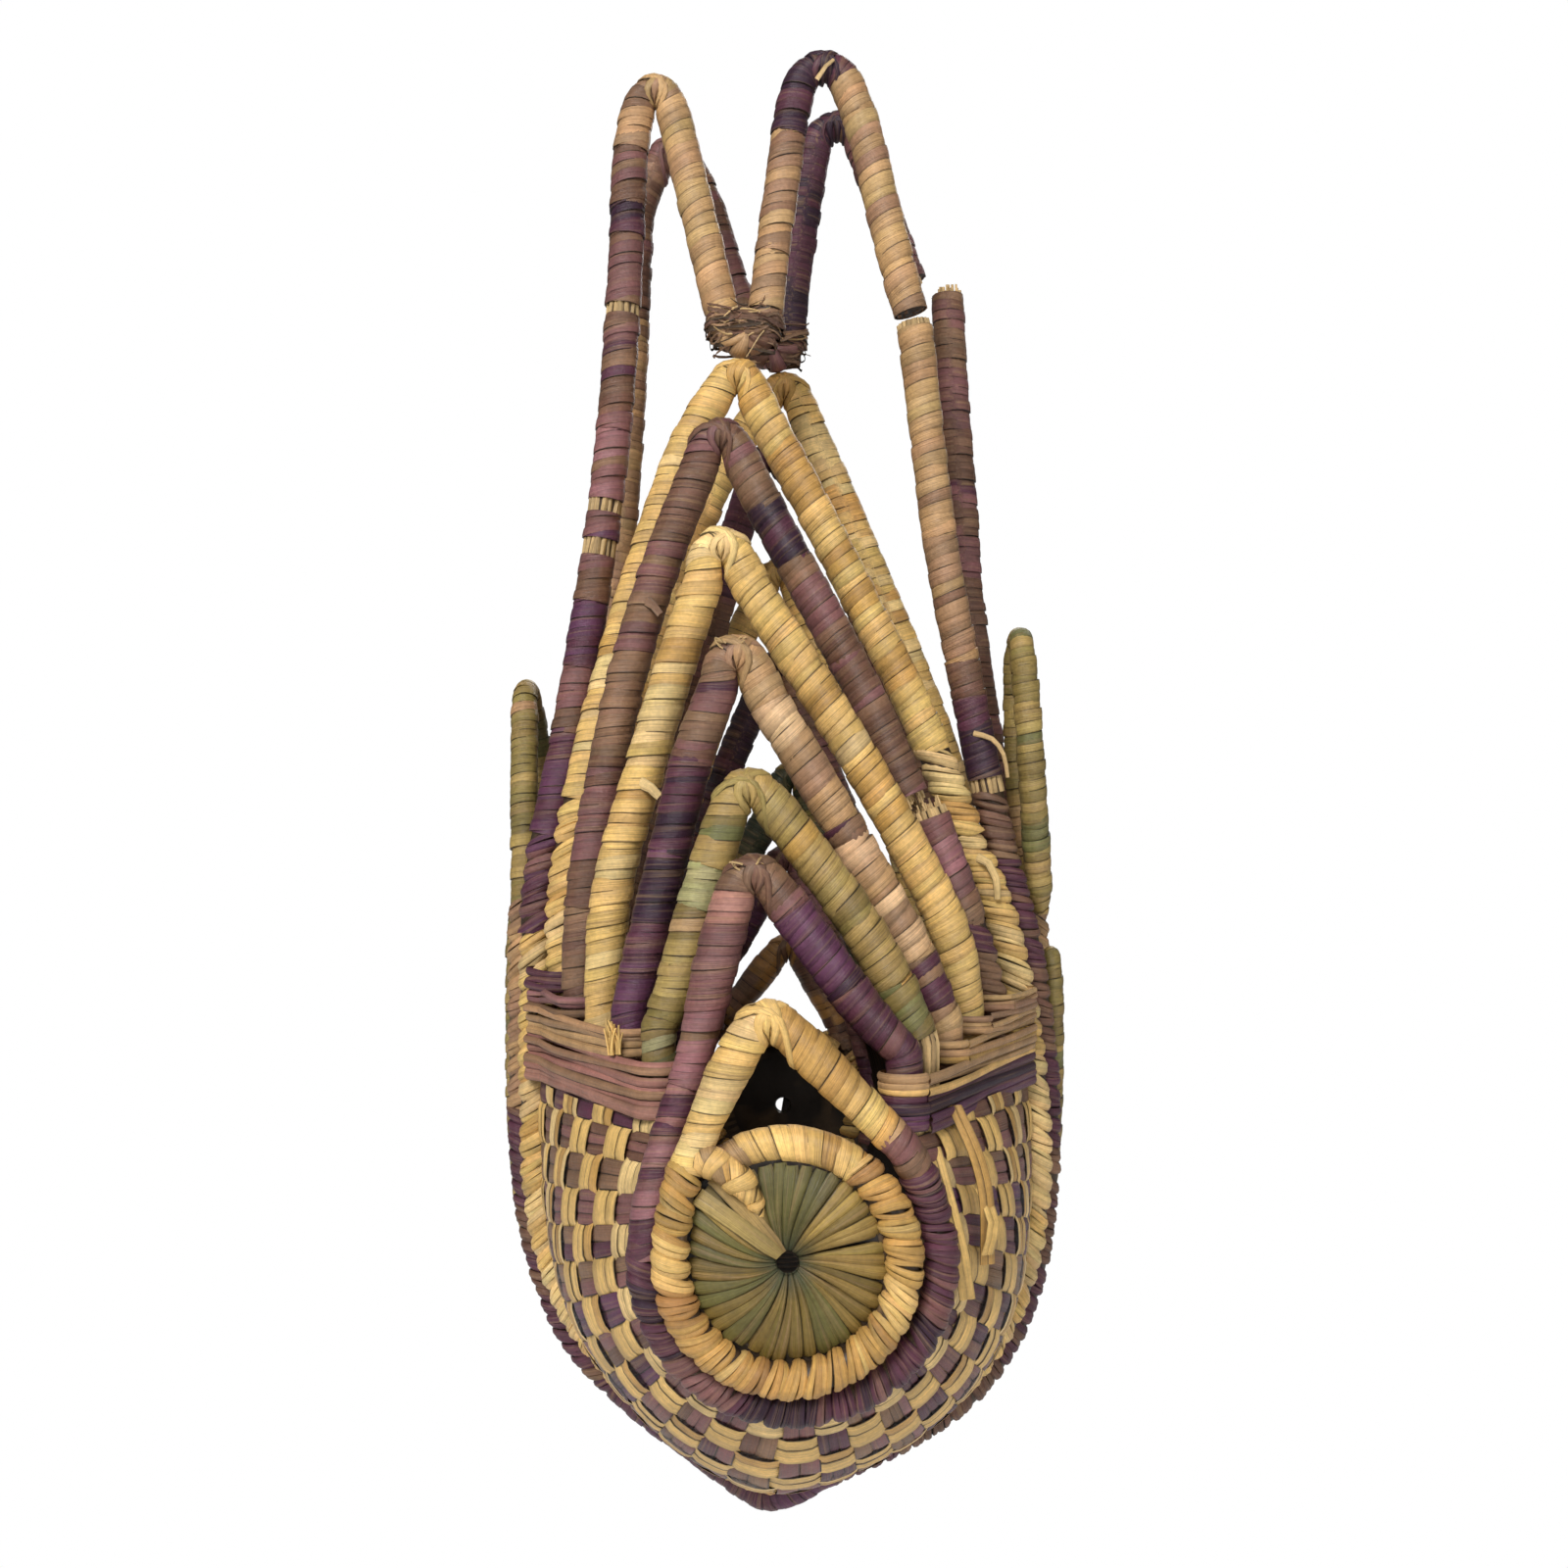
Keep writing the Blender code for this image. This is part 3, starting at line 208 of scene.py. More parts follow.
# The studio: the floor, the shade and the brightness of the surroundings, and the lamps
FLOOR_DROP = 0.12
FLOOR_REACH = 3.0
FLOOR_COLOUR = (0.86, 0.86, 0.85, 1)
WHITE = (1, 1, 1, 1)
AMBIENT = 0.13
LAMP_AIM = Vector((0, 0, -0.2))
LAMPS = (  # name, place, size, watts
    ("key", (-0.45, -1.20, 0.75), 0.7, 25.0),
    ("fill", (0.9, -1.2, 0.0), 1.2, 6.0),
    ("back", (0.3, 1.4, 0.9), 1.0, 12.0),
)

# Dyes of the raffia, and two painted-shade colours: "shade" for dark sheets put where there is only shade,
# and "core" for the rods' cores that show between the strips and for the darkest knot fibres.
# Last, the brown that patches of it have faded to
DYES = {
    "yellow": (0.72, 0.46, 0.15), "pale": (0.76, 0.53, 0.225), "gold": (0.54, 0.305, 0.085),
    "orange": (0.42, 0.215, 0.065), "tan": (0.46, 0.27, 0.125), "sand": (0.51, 0.315, 0.135),
    "taupe": (0.33, 0.185, 0.1), "pink": (0.72, 0.45, 0.245), "rose": (0.36, 0.165, 0.125),
    "lilac": (0.27, 0.115, 0.12), "mauve": (0.19, 0.08, 0.075), "brown": (0.15, 0.072, 0.045),
    "umber": (0.215, 0.115, 0.065), "plum": (0.09, 0.026, 0.045), "grape": (0.105, 0.032, 0.072),
    "night": (0.034, 0.011, 0.026), "olive": (0.23, 0.165, 0.048), "khaki": (0.37, 0.255, 0.08),
    "green": (0.165, 0.152, 0.052), "pale_green": (0.34, 0.305, 0.135), "dark_green": (0.045, 0.055, 0.026),
    "moss": (0.085, 0.085, 0.036), "shade": (0.014, 0.009, 0.006), "core": (0.045, 0.026, 0.014),
    "straw": (0.62, 0.42, 0.19),
}
STAIN = (0.32, 0.195, 0.095, 1)

# Palettes: how often each dye is drawn
YELLOWS = dict(yellow=6, pale=2.5, gold=1.1)
PALES = dict(pale=5, yellow=4)
GOLDS = dict(gold=4, yellow=4, tan=0.6)
OCHRES = dict(gold=5, yellow=2.6, orange=1.1)
ORANGES = dict(orange=3, gold=3, tan=1)
RUSTS = dict(umber=3, orange=2, brown=2)
OLIVES = dict(khaki=5, olive=3, green=0.4)
OLIVE_TANS = dict(khaki=4, olive=3, tan=0.8)
KHAKIS = dict(khaki=6, gold=1.2, olive=1.5)
MOSSES = dict(moss=4, dark_green=3, olive=1)
GREENS = dict(green=4, pale_green=3, olive=1.5)
PALE_GREENS = dict(pale_green=6, green=1.2)
GREEN_OLIVES = dict(olive=4, green=3, khaki=2)
DARK_OLIVES = dict(khaki=4, olive=4, green=0.7)
PLUMS = dict(plum=5, grape=3, mauve=1.5)
GRAPES = dict(grape=4, plum=4, night=1)
NIGHTS = dict(night=4, plum=3)
PLUM_MAUVES = dict(plum=4, mauve=4, lilac=2)
MAUVES = dict(mauve=5, brown=3, plum=1, umber=3)
LIGHT_MAUVES = dict(lilac=4, mauve=4, umber=3, rose=0.8)
BROWNS = dict(brown=5, mauve=2, umber=3)
DARK_BROWNS = dict(brown=5, plum=3, umber=1)
BROWN_TANS = dict(taupe=4, tan=5, umber=0.8)
# Worn browns of the knot and the hoop's valley, darkened with the near-black core colour as painted shade for
# the shadow in the valley
KNOTS_AND_SHADE = dict(tan=1.2, taupe=2, umber=4, brown=4, core=4)
PINKS = dict(tan=5, pink=3, taupe=2)
ROSES = dict(rose=5, lilac=2, taupe=2, mauve=1)
TANS = dict(tan=6, sand=3, taupe=1.5)
STRAWS = dict(tan=4, gold=3, yellow=2)
SPOTTED = dict(umber=4, plum=5)
DEEP_PLUMS = dict(plum=6, night=2.5, mauve=1.5)
WARP_DYES = dict(yellow=0.55, pale=0.25, gold=0.2)
LEAVES = dict(olive=5, khaki=3, green=0.5)
GREEN_LEAVES = dict(green=4, olive=3)

# Windings, where lean tilts the strips at the front, and stitches, sewn in bundles
WINDINGS = {
    "wide": dict(pitch=0.0028, lean=math.radians(6)),
    "wide_left": dict(pitch=0.0026, lean=math.radians(11)),
    "close": dict(pitch=0.0023, lean=math.radians(5)),
    "close_left": dict(pitch=0.0022, lean=math.radians(10)),
}
STITCHES = {
    "ring": dict(pitch=0.0041, width=0.0017, slant=-0.26, spread=0.16, outer=-1, swell=0.08),
    "coil": dict(pitch=0.0045, width=0.0021, slant=0.50, spread=0.06, notch=0.13, swell=0.03),
    "coil_right": dict(pitch=0.0045, width=0.0021, slant=-0.50, spread=0.06, notch=0.13, swell=0.03),
    "fine_coil": dict(pitch=0.0036, count=2, width=0.0021, slant=-0.35, spread=0.08, notch=0.06, swell=0.02),
}
FOLD_STITCHES = dict(pitch=0.0016, count=1, width=0.0026, spread=0.1, notch=0.02, leaf=0.1,
    slants=(-0.75, -0.2, 0.5, 0.95))

# How each rod is dressed: slot, seed, and up to each place its winding and dyes. A place is
# a share of the rod's length, a place on the pouch or the rod's tip.
TIP = "tip"


def loop_1_dressing(rise, fall):
    return ("straw_yellow", 101, ((0.15, "wide", GOLDS), ((-0.285, 0.2835), "ring", OCHRES),
        (TIP, "wide_left", rise), (1.0, "wide", fall)))


def loop_6_dressing(rise):
    return ("mauve_brown", 106, (((-0.66, 0.42), "close_left", BROWNS), (TIP, "close_left", rise),
        ((-0.10, 0.675), "close", BROWNS), ((0.0, 0.640), "wide", NIGHTS), ((0.2, 0.58), "close", MAUVES),
        (1.0, "close", BROWNS)))


DRESSINGS = {
    "loop_1": loop_1_dressing(PALES, GOLDS),
    # The back loops 1, 3 and 4 wear darker palettes than the front ones: painted shade for the shadow inside
    # the pouch, where they are seen through the front loops
    "back_loop_1": loop_1_dressing(RUSTS, RUSTS),
    "loop_2": ("plum_purple", 102, ((0.035, "close", LIGHT_MAUVES), (0.47, "ring", DEEP_PLUMS),
        ((-0.30, 0.325), "close_left", PLUM_MAUVES), (TIP, "close_left", LIGHT_MAUVES),
        ((0.02, 0.425), "close", MAUVES), ((0.17, 0.38), "close", GRAPES), (1.0, "close", PLUM_MAUVES))),
    "loop_3": ("olive_green", 103, (((-0.36, 0.363), "close_left", GREENS),
        ((-0.262, 0.424), "wide_left", OLIVE_TANS), ((-0.225, 0.449), "close_left", PALE_GREENS),
        (TIP, "wide_left", OLIVES), ((0.31, 0.38), "wide", KHAKIS), ((0.388, 0.350), "wide", GREEN_OLIVES),
        (1.0, "bare", None))),
    "back_loop_3": ("olive_green", 103, ((TIP, "close_left", MOSSES), (1.0, "close", MOSSES))),
    "loop_4": ("pink_tan", 104, (((-0.36, 0.457), "close_left", GRAPES),
        ((-0.29, 0.510), "close_left", DEEP_PLUMS), (TIP, "close_left", MAUVES),
        ((-0.05, 0.544), "wide", BROWN_TANS), ((0.180, 0.476), "wide", PINKS),
        ((0.208, 0.464), "close", SPOTTED), ((0.395, 0.394), "wide", PINKS),
        ((0.455, 0.364), "close", SPOTTED), (1.0, "wide", PINKS))),
    "back_loop_4": ("pink_tan", 104, ((TIP, "close_left", BROWNS), (1.0, "close", NIGHTS))),
    "loop_5": ("straw_yellow", 105, ((TIP, "wide_left", YELLOWS), (1.0, "wide", YELLOWS))),
    "loop_6": loop_6_dressing(MAUVES),
    "back_loop_6": loop_6_dressing(BROWNS),
    "loop_6_stump": ("mauve_brown", 116, ((0.035, "bare", None), (0.5, "wide", LIGHT_MAUVES),
        (1.0, "coil_right", MAUVES))),
    "loop_7": ("straw_yellow", 107, ((0.17, "coil", YELLOWS), (TIP, "wide_left", YELLOWS),
        ((0.50, 0.525), "wide", GOLDS), (1.0, "coil_right", YELLOWS))),
    "border_coil": ("straw_yellow", 108, ((0.42, "coil_right", PALES), (0.60, "coil", ORANGES),
        (1.0, "coil", YELLOWS))),
    "handle_hoop": ("straw_tan", 109, (
        ((-0.82, 0.468), "coil", PLUMS), ((-0.745, 0.535), "close_left", PLUMS),
        ((-0.70, 0.58), "close_left", MAUVES), ((-0.665, 0.625), "close_left", PLUMS),
        ((-0.640, 0.655), "close_left", MAUVES), ((-0.632, 0.666), "bare", None),
        ((-0.618, 0.684), "close_left", PLUMS), ((-0.612, 0.692), "bare", None),
        ((-0.590, 0.74), "close_left", LIGHT_MAUVES), ((-0.566, 0.818), "close_left", MAUVES),
        ((-0.564, 0.825), "bare", None), ((-0.545, 0.872), "close_left", MAUVES),
        ((-0.540, 0.892), "close_left", NIGHTS), ((-0.533, 0.93), "close_left", MAUVES),
        (FRONT_HOOP["left_ear"], "close_left", BROWN_TANS), ((-0.178, 0.812), "wide", TANS),
        # The winding in the valley takes the knot's dark palette: painted shade where the valley lies in
        # shadow
        ((-0.100, 0.824), "close", KNOTS_AND_SHADE), ((-0.04, 0.86), "wide_left", BROWN_TANS),
        ((0.02, 0.940), "wide_left", BROWN_TANS), ((0.20, 0.978), "close", NIGHTS),
        ((0.27, 0.955), "close", BROWN_TANS), (1.0, "wide", TANS))),
    "back_handle_hoop": ("straw_tan", 109, (
        (BACK_HOOP["left_ear"], "wide_left", MAUVES), (0.30, "close", NIGHTS), (0.5, "close", MAUVES),
        (0.62, "close", BROWNS), (0.9, "close", BROWN_TANS), (1.0, "fine_coil", BROWNS))),
    "handle_leg": ("straw_tan", 110, ((0.012, "bare", None), ((0.54, 0.67), "wide", TANS),
        ((0.61, 0.585), "wide", BROWN_TANS), ((0.632, 0.560), "close", BROWNS),
        ((0.70, 0.505), "close", NIGHTS), ((0.712, 0.494), "bare", None), (1.0, "fine_coil", BROWNS))),
    "back_handle_leg": ("straw_tan", 110, ((0.12, "coil", MAUVES), (0.5, "close_left", BROWNS),
        (1.0, "close_left", MAUVES))),
    "keel_coil": ("plum_purple", 111, ((0.49, "fine_coil", DARK_BROWNS), (0.66, "close_left", GRAPES),
        (0.86, "fine_coil", DARK_BROWNS), (1.0, "coil", BROWN_TANS))),
    "side_loop_left": ("olive_green", 31, ((0.5, "close", OLIVE_TANS), (1.0, "close", DARK_OLIVES))),
    "side_loop_right": ("olive_green", 32, ((0.5, "close", OLIVE_TANS), (1.0, "close", DARK_OLIVES))),
    "gusset_belt": ("olive_green", 33, ((1.0, "close", OLIVES),)),
}
# Broken ends: 1 at the rod's end or -1 at its start, how far the straws stand out, their dye
BROKEN_ENDS = {
    "front_loop_6": (1, 0.0028, "straw"),
    "front_loop_6_stump": (-1, 0.0020, "straw"),
    "front_handle_hoop": (1, 0.0004, "umber"),
    "front_handle_leg": (-1, 0.0002, "straw"),
    "back_handle_hoop": (-1, 0.0022, "straw"),
    "back_handle_leg": (1, 0.0022, "straw"),
}
# Strip ends that have come loose from a rod: places with how far they stand in front of the
# rod's row, width and dye
LOOSE_ENDS = {
    "front_handle_hoop": (((0.108, 0.9735, 0.0045), (0.14, 0.982, 0.005), (0.166, 0.987, 0.0044)),
        0.0013, "straw"),
    "front_loop_5": (((-0.455, 0.4985, 0.0042), (-0.42, 0.495, 0.0052), (-0.392, 0.4895, 0.006)),
        0.0028, "pale"),
    "front_loop_6": (((-0.455, 0.615, 0.0042), (-0.425, 0.611, 0.0052), (-0.402, 0.605, 0.006)),
        0.0024, "umber"),
    "front_handle_leg": (((0.655, 0.536, 0.004), (0.715, 0.532, 0.0056), (0.755, 0.522, 0.0052),
        (0.772, 0.506, 0.0046)), 0.0014, "straw"),
    "front_border_coil": (((0.655, 0.452, 0.004), (0.69, 0.448, 0.0058), (0.715, 0.438, 0.006),
        (0.722, 0.424, 0.005)), 0.0022, "pale"),
}
# Warps that have come loose on the right of the front wall: places with their rows, width, dye
LOOSE_WARPS = (
    (((0.418, 0.2905, 0.08), (0.446, 0.268, 0.085), (0.486, 0.238, 0.085), (0.514, 0.2065, 0.082)),
        0.0036, "yellow"),
    (((0.49, 0.311, 0.0735), (0.545, 0.286, 0.0775), (0.577, 0.262, 0.0765), (0.589, 0.2194, 0.073)),
        0.0034, "gold"),
    (((0.565, 0.264, 0.0745), (0.6, 0.246, 0.0765), (0.585, 0.226, 0.0745)), 0.0028, "yellow"),
)
# The rows of the weft bands: from and up to above the wall's top, first leg held, dyes, strips
BAND_ROWS = {
    "left": ((0.0, 0.0056, 0, ROSES, 4), (0.0056, 0.0114, 0, ROSES, 4), (0.0114, 0.017, 1, BROWN_TANS, 4),
        (0.017, 0.0214, 3, LIGHT_MAUVES, 3), (0.0214, 0.0258, 4, PLUMS, 3)),
    "right": ((-0.001, 0.0058, 0, GRAPES, 4), (0.0058, 0.01, 0, STRAWS, 3), (0.01, 0.0142, 2, STRAWS, 3),
        (0.0142, 0.018, 3, TANS, 3), (0.018, 0.0217, 4, TANS, 3)),
}
# The rim's twisted end: places with how far they stand in front of the first ring's row
TWIST = ((-0.245, 0.2905, 0), (-0.195, 0.2885, 0.0012), (-0.152, 0.283, 0.0019), (-0.116, 0.276, 0.002),
    (-0.09, 0.268, 0.0017), (-0.078, 0.2605, 0.0006))

# The woven walls: cells of each half, points across a cell, how deep and how flat the waves
# are, and how far behind the weave its sheet of painted shade lies and how far it reaches past it
WARPS = 8
WEFTS = 27
CELL_STEPS = 6
WEAVE_DEPTH = 0.00050
WEAVE_FLATNESS = 2.4
SHADE_SHEET_DEPTH = 0.0010
SHADE_SHEET_HEM = 0.0016

# The rosette: its radial leaf strips, and a sheet of painted shade over the left of the back one's hole
LEAF_COUNT = 42
LEAF_STEPS = 14
LEAF_SHADE = (0.75, 0.70, 0.54)
LEAF_PROFILE = ((0.0, -0.0004), (0.05, 0.00030), (0.3, 0.00062), (0.7, 0.00030), (1.0, -0.0004))
HOLE_SHADE = (((-0.0004, 0, 0.003), (-0.0026, 0, 0.003)), ((0.0006, 0, -0.003), (-0.0026, 0, -0.003)))
KNOT_FIBRES = 56
KNOT_STRAWS = 30

# Profiles across a strip: place from its leading edge and lift; spots across it and crowns
STRIP_PROFILE = ((0.0, -0.3), (0.03, 0.80), (0.45, 1.0), (0.9, 0.55), (1.0, 0.0))
STRIP_LIFT = 0.00026
STITCH_SPOTS = np.array((0.0, 0.1, 0.5, 0.9, 1.0))
STITCH_CROWN = np.array((-0.0003, 0.00006, 0.00020, 0.00002, -0.0003))
STRAW_SPOTS = np.array((-1.0, -0.5, 0.0, 0.5, 1.0))
STRAW_CROWN = np.array((-0.0003, 0.0001, 0.0003, 0.0001, -0.0003))

# Runs along a rod: points round it, how far a run reaches under the next one and drops there
AROUND = 16
RUN_OVERLAP = 0.0014
RUN_DROP = 0.00035
SHORTEST_RUN = 0.001
END_INSET = 0.0002
CORE_STRAWS = 15
FRAY_STRAWS = 26
FRAY_ROOT = 0.002
FRAY_REACH = 0.0034
BACK_SEED = 500

# How unevenly a strip is wound: shares of its pitch, radians, shares of its width, metres
PITCH_SLACK = 0.16
MOST_SLACK = 1.2
LEAN_SLACK = 0.035
WIDTH_RANGE = (0.92, 1.1)
LIFT_SLACK = 0.00008
MAP_PER_RADIAN = 0.0045

# Folds: a turn of more than a swing on less than a radius, within which the two sides are
# held apart by a gap and the rod is slimmer
TRACK_STEP = 0.0008
FOLD_RADIUS = 0.0085
FOLD_SWING = 1.2
FOLD_REACH = 0.02
FOLD_GAP = 0.00008
FOLD_SLIM = 0.2
FOLD_SLIM_REACH = 0.0055
SHARP_ANGLE = math.radians(48)

FULL_TURN = 2 * math.pi
UP = np.array((0.0, 0.0, 1.0))
FLAT = np.array((1.0, 0.0, 1.0))
HALF_ROUND = np.array((-1, -1, 1))


def place(shares, row):
    """The point at shares of the half width and the height, in a row so far forward."""
    return Vector((shares[0] * HALF_WIDTH, -row, shares[1] * HEIGHT - HANG_HEIGHT))


def in_row(shares_list, row):
    """Places that all lie in one row."""
    return [place(shares, row) for shares in shares_list]


def leaning(shares_list, row, low, high, high_row):
    """Places that pass from one row into another between two heights."""
    rises = [ease((height - low) / (high - low)) for _, height in shares_list]
    return [place(shares, blend(row, high_row, rise)) for shares, rise in zip(shares_list, rises)]


def unit(vectors, least=0.0):
    """The vectors at length 1; least keeps zero ones from a division by zero."""
    return vectors / (np.linalg.norm(vectors, axis=-1, keepdims=True) + least)


def dot(first, second):
    return np.sum(first * second, axis=-1, keepdims=True)


def as_array(points):
    return np.array([tuple(point) for point in points])


def lengths_along(points):
    return np.concatenate([[0], np.cumsum(np.linalg.norm(np.diff(points, axis=0), axis=1))])


def ring_of(angles):
    """Directions in the rosette's plane."""
    return np.stack([np.cos(angles), np.zeros(len(angles)), np.sin(angles)], 1)


def blend(first, second, share):
    return first + (second - first) * share


def ease(share):
    held = min(1, max(0, share))
    return held * held * (3 - 2 * held)


def spline_point(before, start, end, after, share):
    """A point between start and end of a centripetal spline."""
    knot_1 = math.sqrt((start - before).length)
    knot_2 = knot_1 + math.sqrt((end - start).length)
    knot_3 = knot_2 + math.sqrt((after - end).length)
    here = blend(knot_1, knot_2, share)
    low = blend(before, start, here / knot_1)
    middle = blend(start, end, (here - knot_1) / (knot_2 - knot_1))
    high = blend(end, after, (here - knot_2) / (knot_3 - knot_2))
    first = blend(low, middle, here / knot_2)
    second = blend(middle, high, (here - knot_1) / (knot_3 - knot_1))
    return blend(first, second, (here - knot_1) / (knot_2 - knot_1))


def smooth(points, closed=False):
    """A spline through all the points, in short steps."""
    count = len(points)
    run = []
    for index in range(count if closed else count - 1):
        start = points[index]
        end = points[(index + 1) % count]
        if closed:
            before = points[index - 1]
            after = points[(index + 2) % count]
        else:
            before = points[index - 1] if index else start * 2 - end
            after = points[index + 2] if index + 2 < count else end * 2 - start
        steps = max(1, round((end - start).length / POINT_SPACING))
        for step in range(steps):
            run.append(spline_point(before, start, end, after, step / steps))
    if not closed:
        run.append(points[-1])
    return run


def bend(before, top, after, radius, up=1):
    """An arc over a tip, tangent to both legs, or with up=-1 under a valley."""
    centre = top - Vector((0, 0, up * radius - max(0, up) * TIP_RISE))
    angles = []
    for point, side in ((before, 1), (after, -1)):
        reach = Vector((point.x - centre.x, point.z - centre.z))
        lean = math.acos(min(1, radius / reach.length))
        angles.append(math.atan2(up * reach.y, reach.x) % (FULL_TURN) - side * lean)
    first, last = angles
    if last > first:
        last -= FULL_TURN
    arc = []
    for step in range(ARC_STEPS + 1):
        angle = blend(first, last, step / ARC_STEPS)
        arc.append(centre + Vector((math.cos(angle), 0, up * math.sin(angle))) * radius)
    return arc


def pointed(left, top, right):
    """A loop's two legs, joined by its bent tip."""
    return left + bend(left[-1], top, right[0], TIP_BEND_RADIUS) + right


def seam_from(path):
    """The next piece's first points, begun inside the end of the piece before."""
    along = (path[-1] - path[-2]).normalized()
    return [path[-1] - along * SEAM_OVERLAP, path[-1] + along * SEAM_RUN]


def ring_turn(centre, radius, start, tuck=0):
    """A turn round the rosette to its left, let back by a tuck where it starts."""
    steps = round((start + math.pi) / RING_STEP_ANGLE)
    points = []
    for step in range(steps + 1):
        angle = blend(start, -math.pi, step / steps)
        away = Vector((math.cos(angle), 0, math.sin(angle))) * radius
        points.append(centre + away + Vector((0, tuck * (1 - ease(2 * step / steps)), 0)))
    return points


def loop_row(number):
    return LOOP_7_ROW + (7 - number) * LOOP_PITCH


def band_top(row, side):
    shares = LEFT_BAND_TOP_SHARES if side < 0 else RIGHT_BAND_TOP_SHARES
    share = (RING_2_ROW - row) / (RING_2_ROW - BORDER_ROW)
    return blend(shares[0], shares[1], share) * HEIGHT - HANG_HEIGHT


def leg_top(shares, row, side):
    top = place(shares, row)
    top.z = band_top(row, side) + LEG_RUN_IN
    return top


def leg_end(top, side):
    return Vector((top.x, top.y, band_top(-top.y, side) - SOCKET_DEPTH))


def loop_1_path(loops):
    """The rim over the rosette, the ring round it, and the first pointed loop."""
    left, tip, right = loops[1]
    row = RING_1_ROW - LOOP_1_TUCK
    turn = ring_turn(place(ROSETTE_SHARES, RING_1_ROW), RING_1_RADIUS, RIM_START_ANGLE, RIM_TUCK)
    rise = in_row(left[:1], RING_1_ROW) + in_row(left[1:], row)
    return smooth(turn + pointed(rise, place(tip, row), in_row(right, row)))


def loop_2_path(last_turn, loops):
    """The second ring, begun where the first loop ends, and the second pointed loop."""
    left, tip, right = loops[2]
    row = RING_2_ROW - LOOP_2_TUCK
    centre = place(ROSETTE_SHARES, RING_2_ROW) + Vector((RING_SHIFT, 0, -RING_SHIFT))
    turn = ring_turn(centre, RING_2_RADIUS, RING_2_START_ANGLE)
    rise = [place(left[0], RING_2_ROW), place(left[1], RING_2_ROW - LOOP_2_TUCK / 2)] + in_row(left[2:], row)
    fall = in_row(right[:-1], row) + [leg_top(right[-1], row, 1)]
    return smooth(seam_from(last_turn) + turn + pointed(rise, place(tip, row), fall)) + [leg_end(fall[-1], 1)]


def arch_path(number, left, tip, right, whole=True):
    """A pointed loop from its left socket; whole takes it down to its right socket."""
    row = loop_row(number)
    rise = [leg_top(left[0], row, -1)] + in_row(left[1:], row)
    fall = in_row(right[:-1], row) + [leg_top(right[-1], row, 1) if whole else place(right[-1], row)]
    path = [leg_end(rise[0], -1)] + smooth(pointed(rise, place(tip, row), fall))
    return path + [leg_end(fall[-1], 1)] if whole else path


def stump_path():
    row = loop_row(6)
    points = in_row(LOOP_6_STUMP_SHARES[:-1], row)
    points.append(leg_top(LOOP_6_STUMP_SHARES[-1], row, 1))
    return smooth(points) + [leg_end(points[-1], 1)]


def loop_7_path(loops):
    """The last pointed loop, whose right leg lies over into the border coil's row."""
    left, tip, right = loops[7]
    lean = (left[0][1], tip[1], EAR_ROW + RIM_TUCK / 2)
    rise = [leg_top(left[0], LOOP_7_ROW, -1)] + leaning(left[1:], LOOP_7_ROW, *lean)
    fall = leaning(right[:-1], BORDER_ROW, *lean) + [place(right[-1], BORDER_ROW)]
    return [leg_end(rise[0], -1)] + smooth(pointed(rise, place(tip, lean[-1]), fall))


def coil_path(last_turn, shares_list, row):
    return smooth(seam_from(last_turn) + in_row(shares_list, row))


def hoop_paths(last_turn, hoop):
    """The handle hoop: up the left, over two ears with a valley between, down the right.

    Where the left leg is broken, its lower piece comes first, as a path of its own.
    """
    lean = (FRONT_HOOP["left"][0][1], FRONT_HOOP["left"][-1][1], EAR_ROW)
    left = seam_from(last_turn) + leaning(hoop["left"], BORDER_ROW, *lean)
    pieces = []
    if "left_top" in hoop:
        pieces.append(smooth(left))
        left = in_row(hoop["left_top"], EAR_ROW)
    down = in_row(hoop["down"], EAR_ROW)
    up = in_row(hoop["up"], EAR_ROW)
    right = leaning(hoop["right"], KEEL_ROW, *lean)
    left_ear = bend(left[-1], place(hoop["left_ear"], EAR_ROW), down[0], hoop["left_bend"])
    valley_radius = HOOP_DIAMETER / 2 + CLEARANCE
    valley = bend(down[-1], place(hoop["valley"], EAR_ROW), up[0], valley_radius, up=-1)
    right_ear = bend(up[-1], place(hoop["right_ear"], EAR_ROW), right[0], hoop["right_bend"])
    pieces.append(smooth(left + left_ear + down + valley + up + right_ear + right))
    return pieces


def cut_path(path, height, gap):
    """The path above a height and, past a gap, the path below it."""
    index = max(i for i in range(len(path) - 1) if path[i].z > height >= path[i + 1].z)
    above, below = path[index], path[index + 1]
    cut = blend(above, below, (above.z - height) / (above.z - below.z))
    along = (below - above).normalized()
    return path[:index + 1] + [cut], [cut + along * gap] + path[index + 1:]


def side_loop_path(start, rise_shares, tip_shares, fall_shares):
    def at(shares):
        return Vector((shares[0] * HALF_WIDTH, shares[2] * KEEL_ROW, shares[1] * HEIGHT - HANG_HEIGHT))

    rise = [at(shares) for shares in rise_shares]
    fall = [at(shares) for shares in fall_shares]
    top = at(tip_shares)
    inward = math.copysign(1, rise[-1].y)
    arc = []
    for step in range(ARC_STEPS + 1):
        angle = blend(0.1, 0.9, step / ARC_STEPS) * math.pi
        across = inward * math.cos(angle) * SIDE_LOOP_BEND_RADIUS
        arc.append(top + Vector((0, across, (math.sin(angle) - 1) * SIDE_LOOP_BEND_RADIUS)))
    return smooth(start + rise + arc + fall)


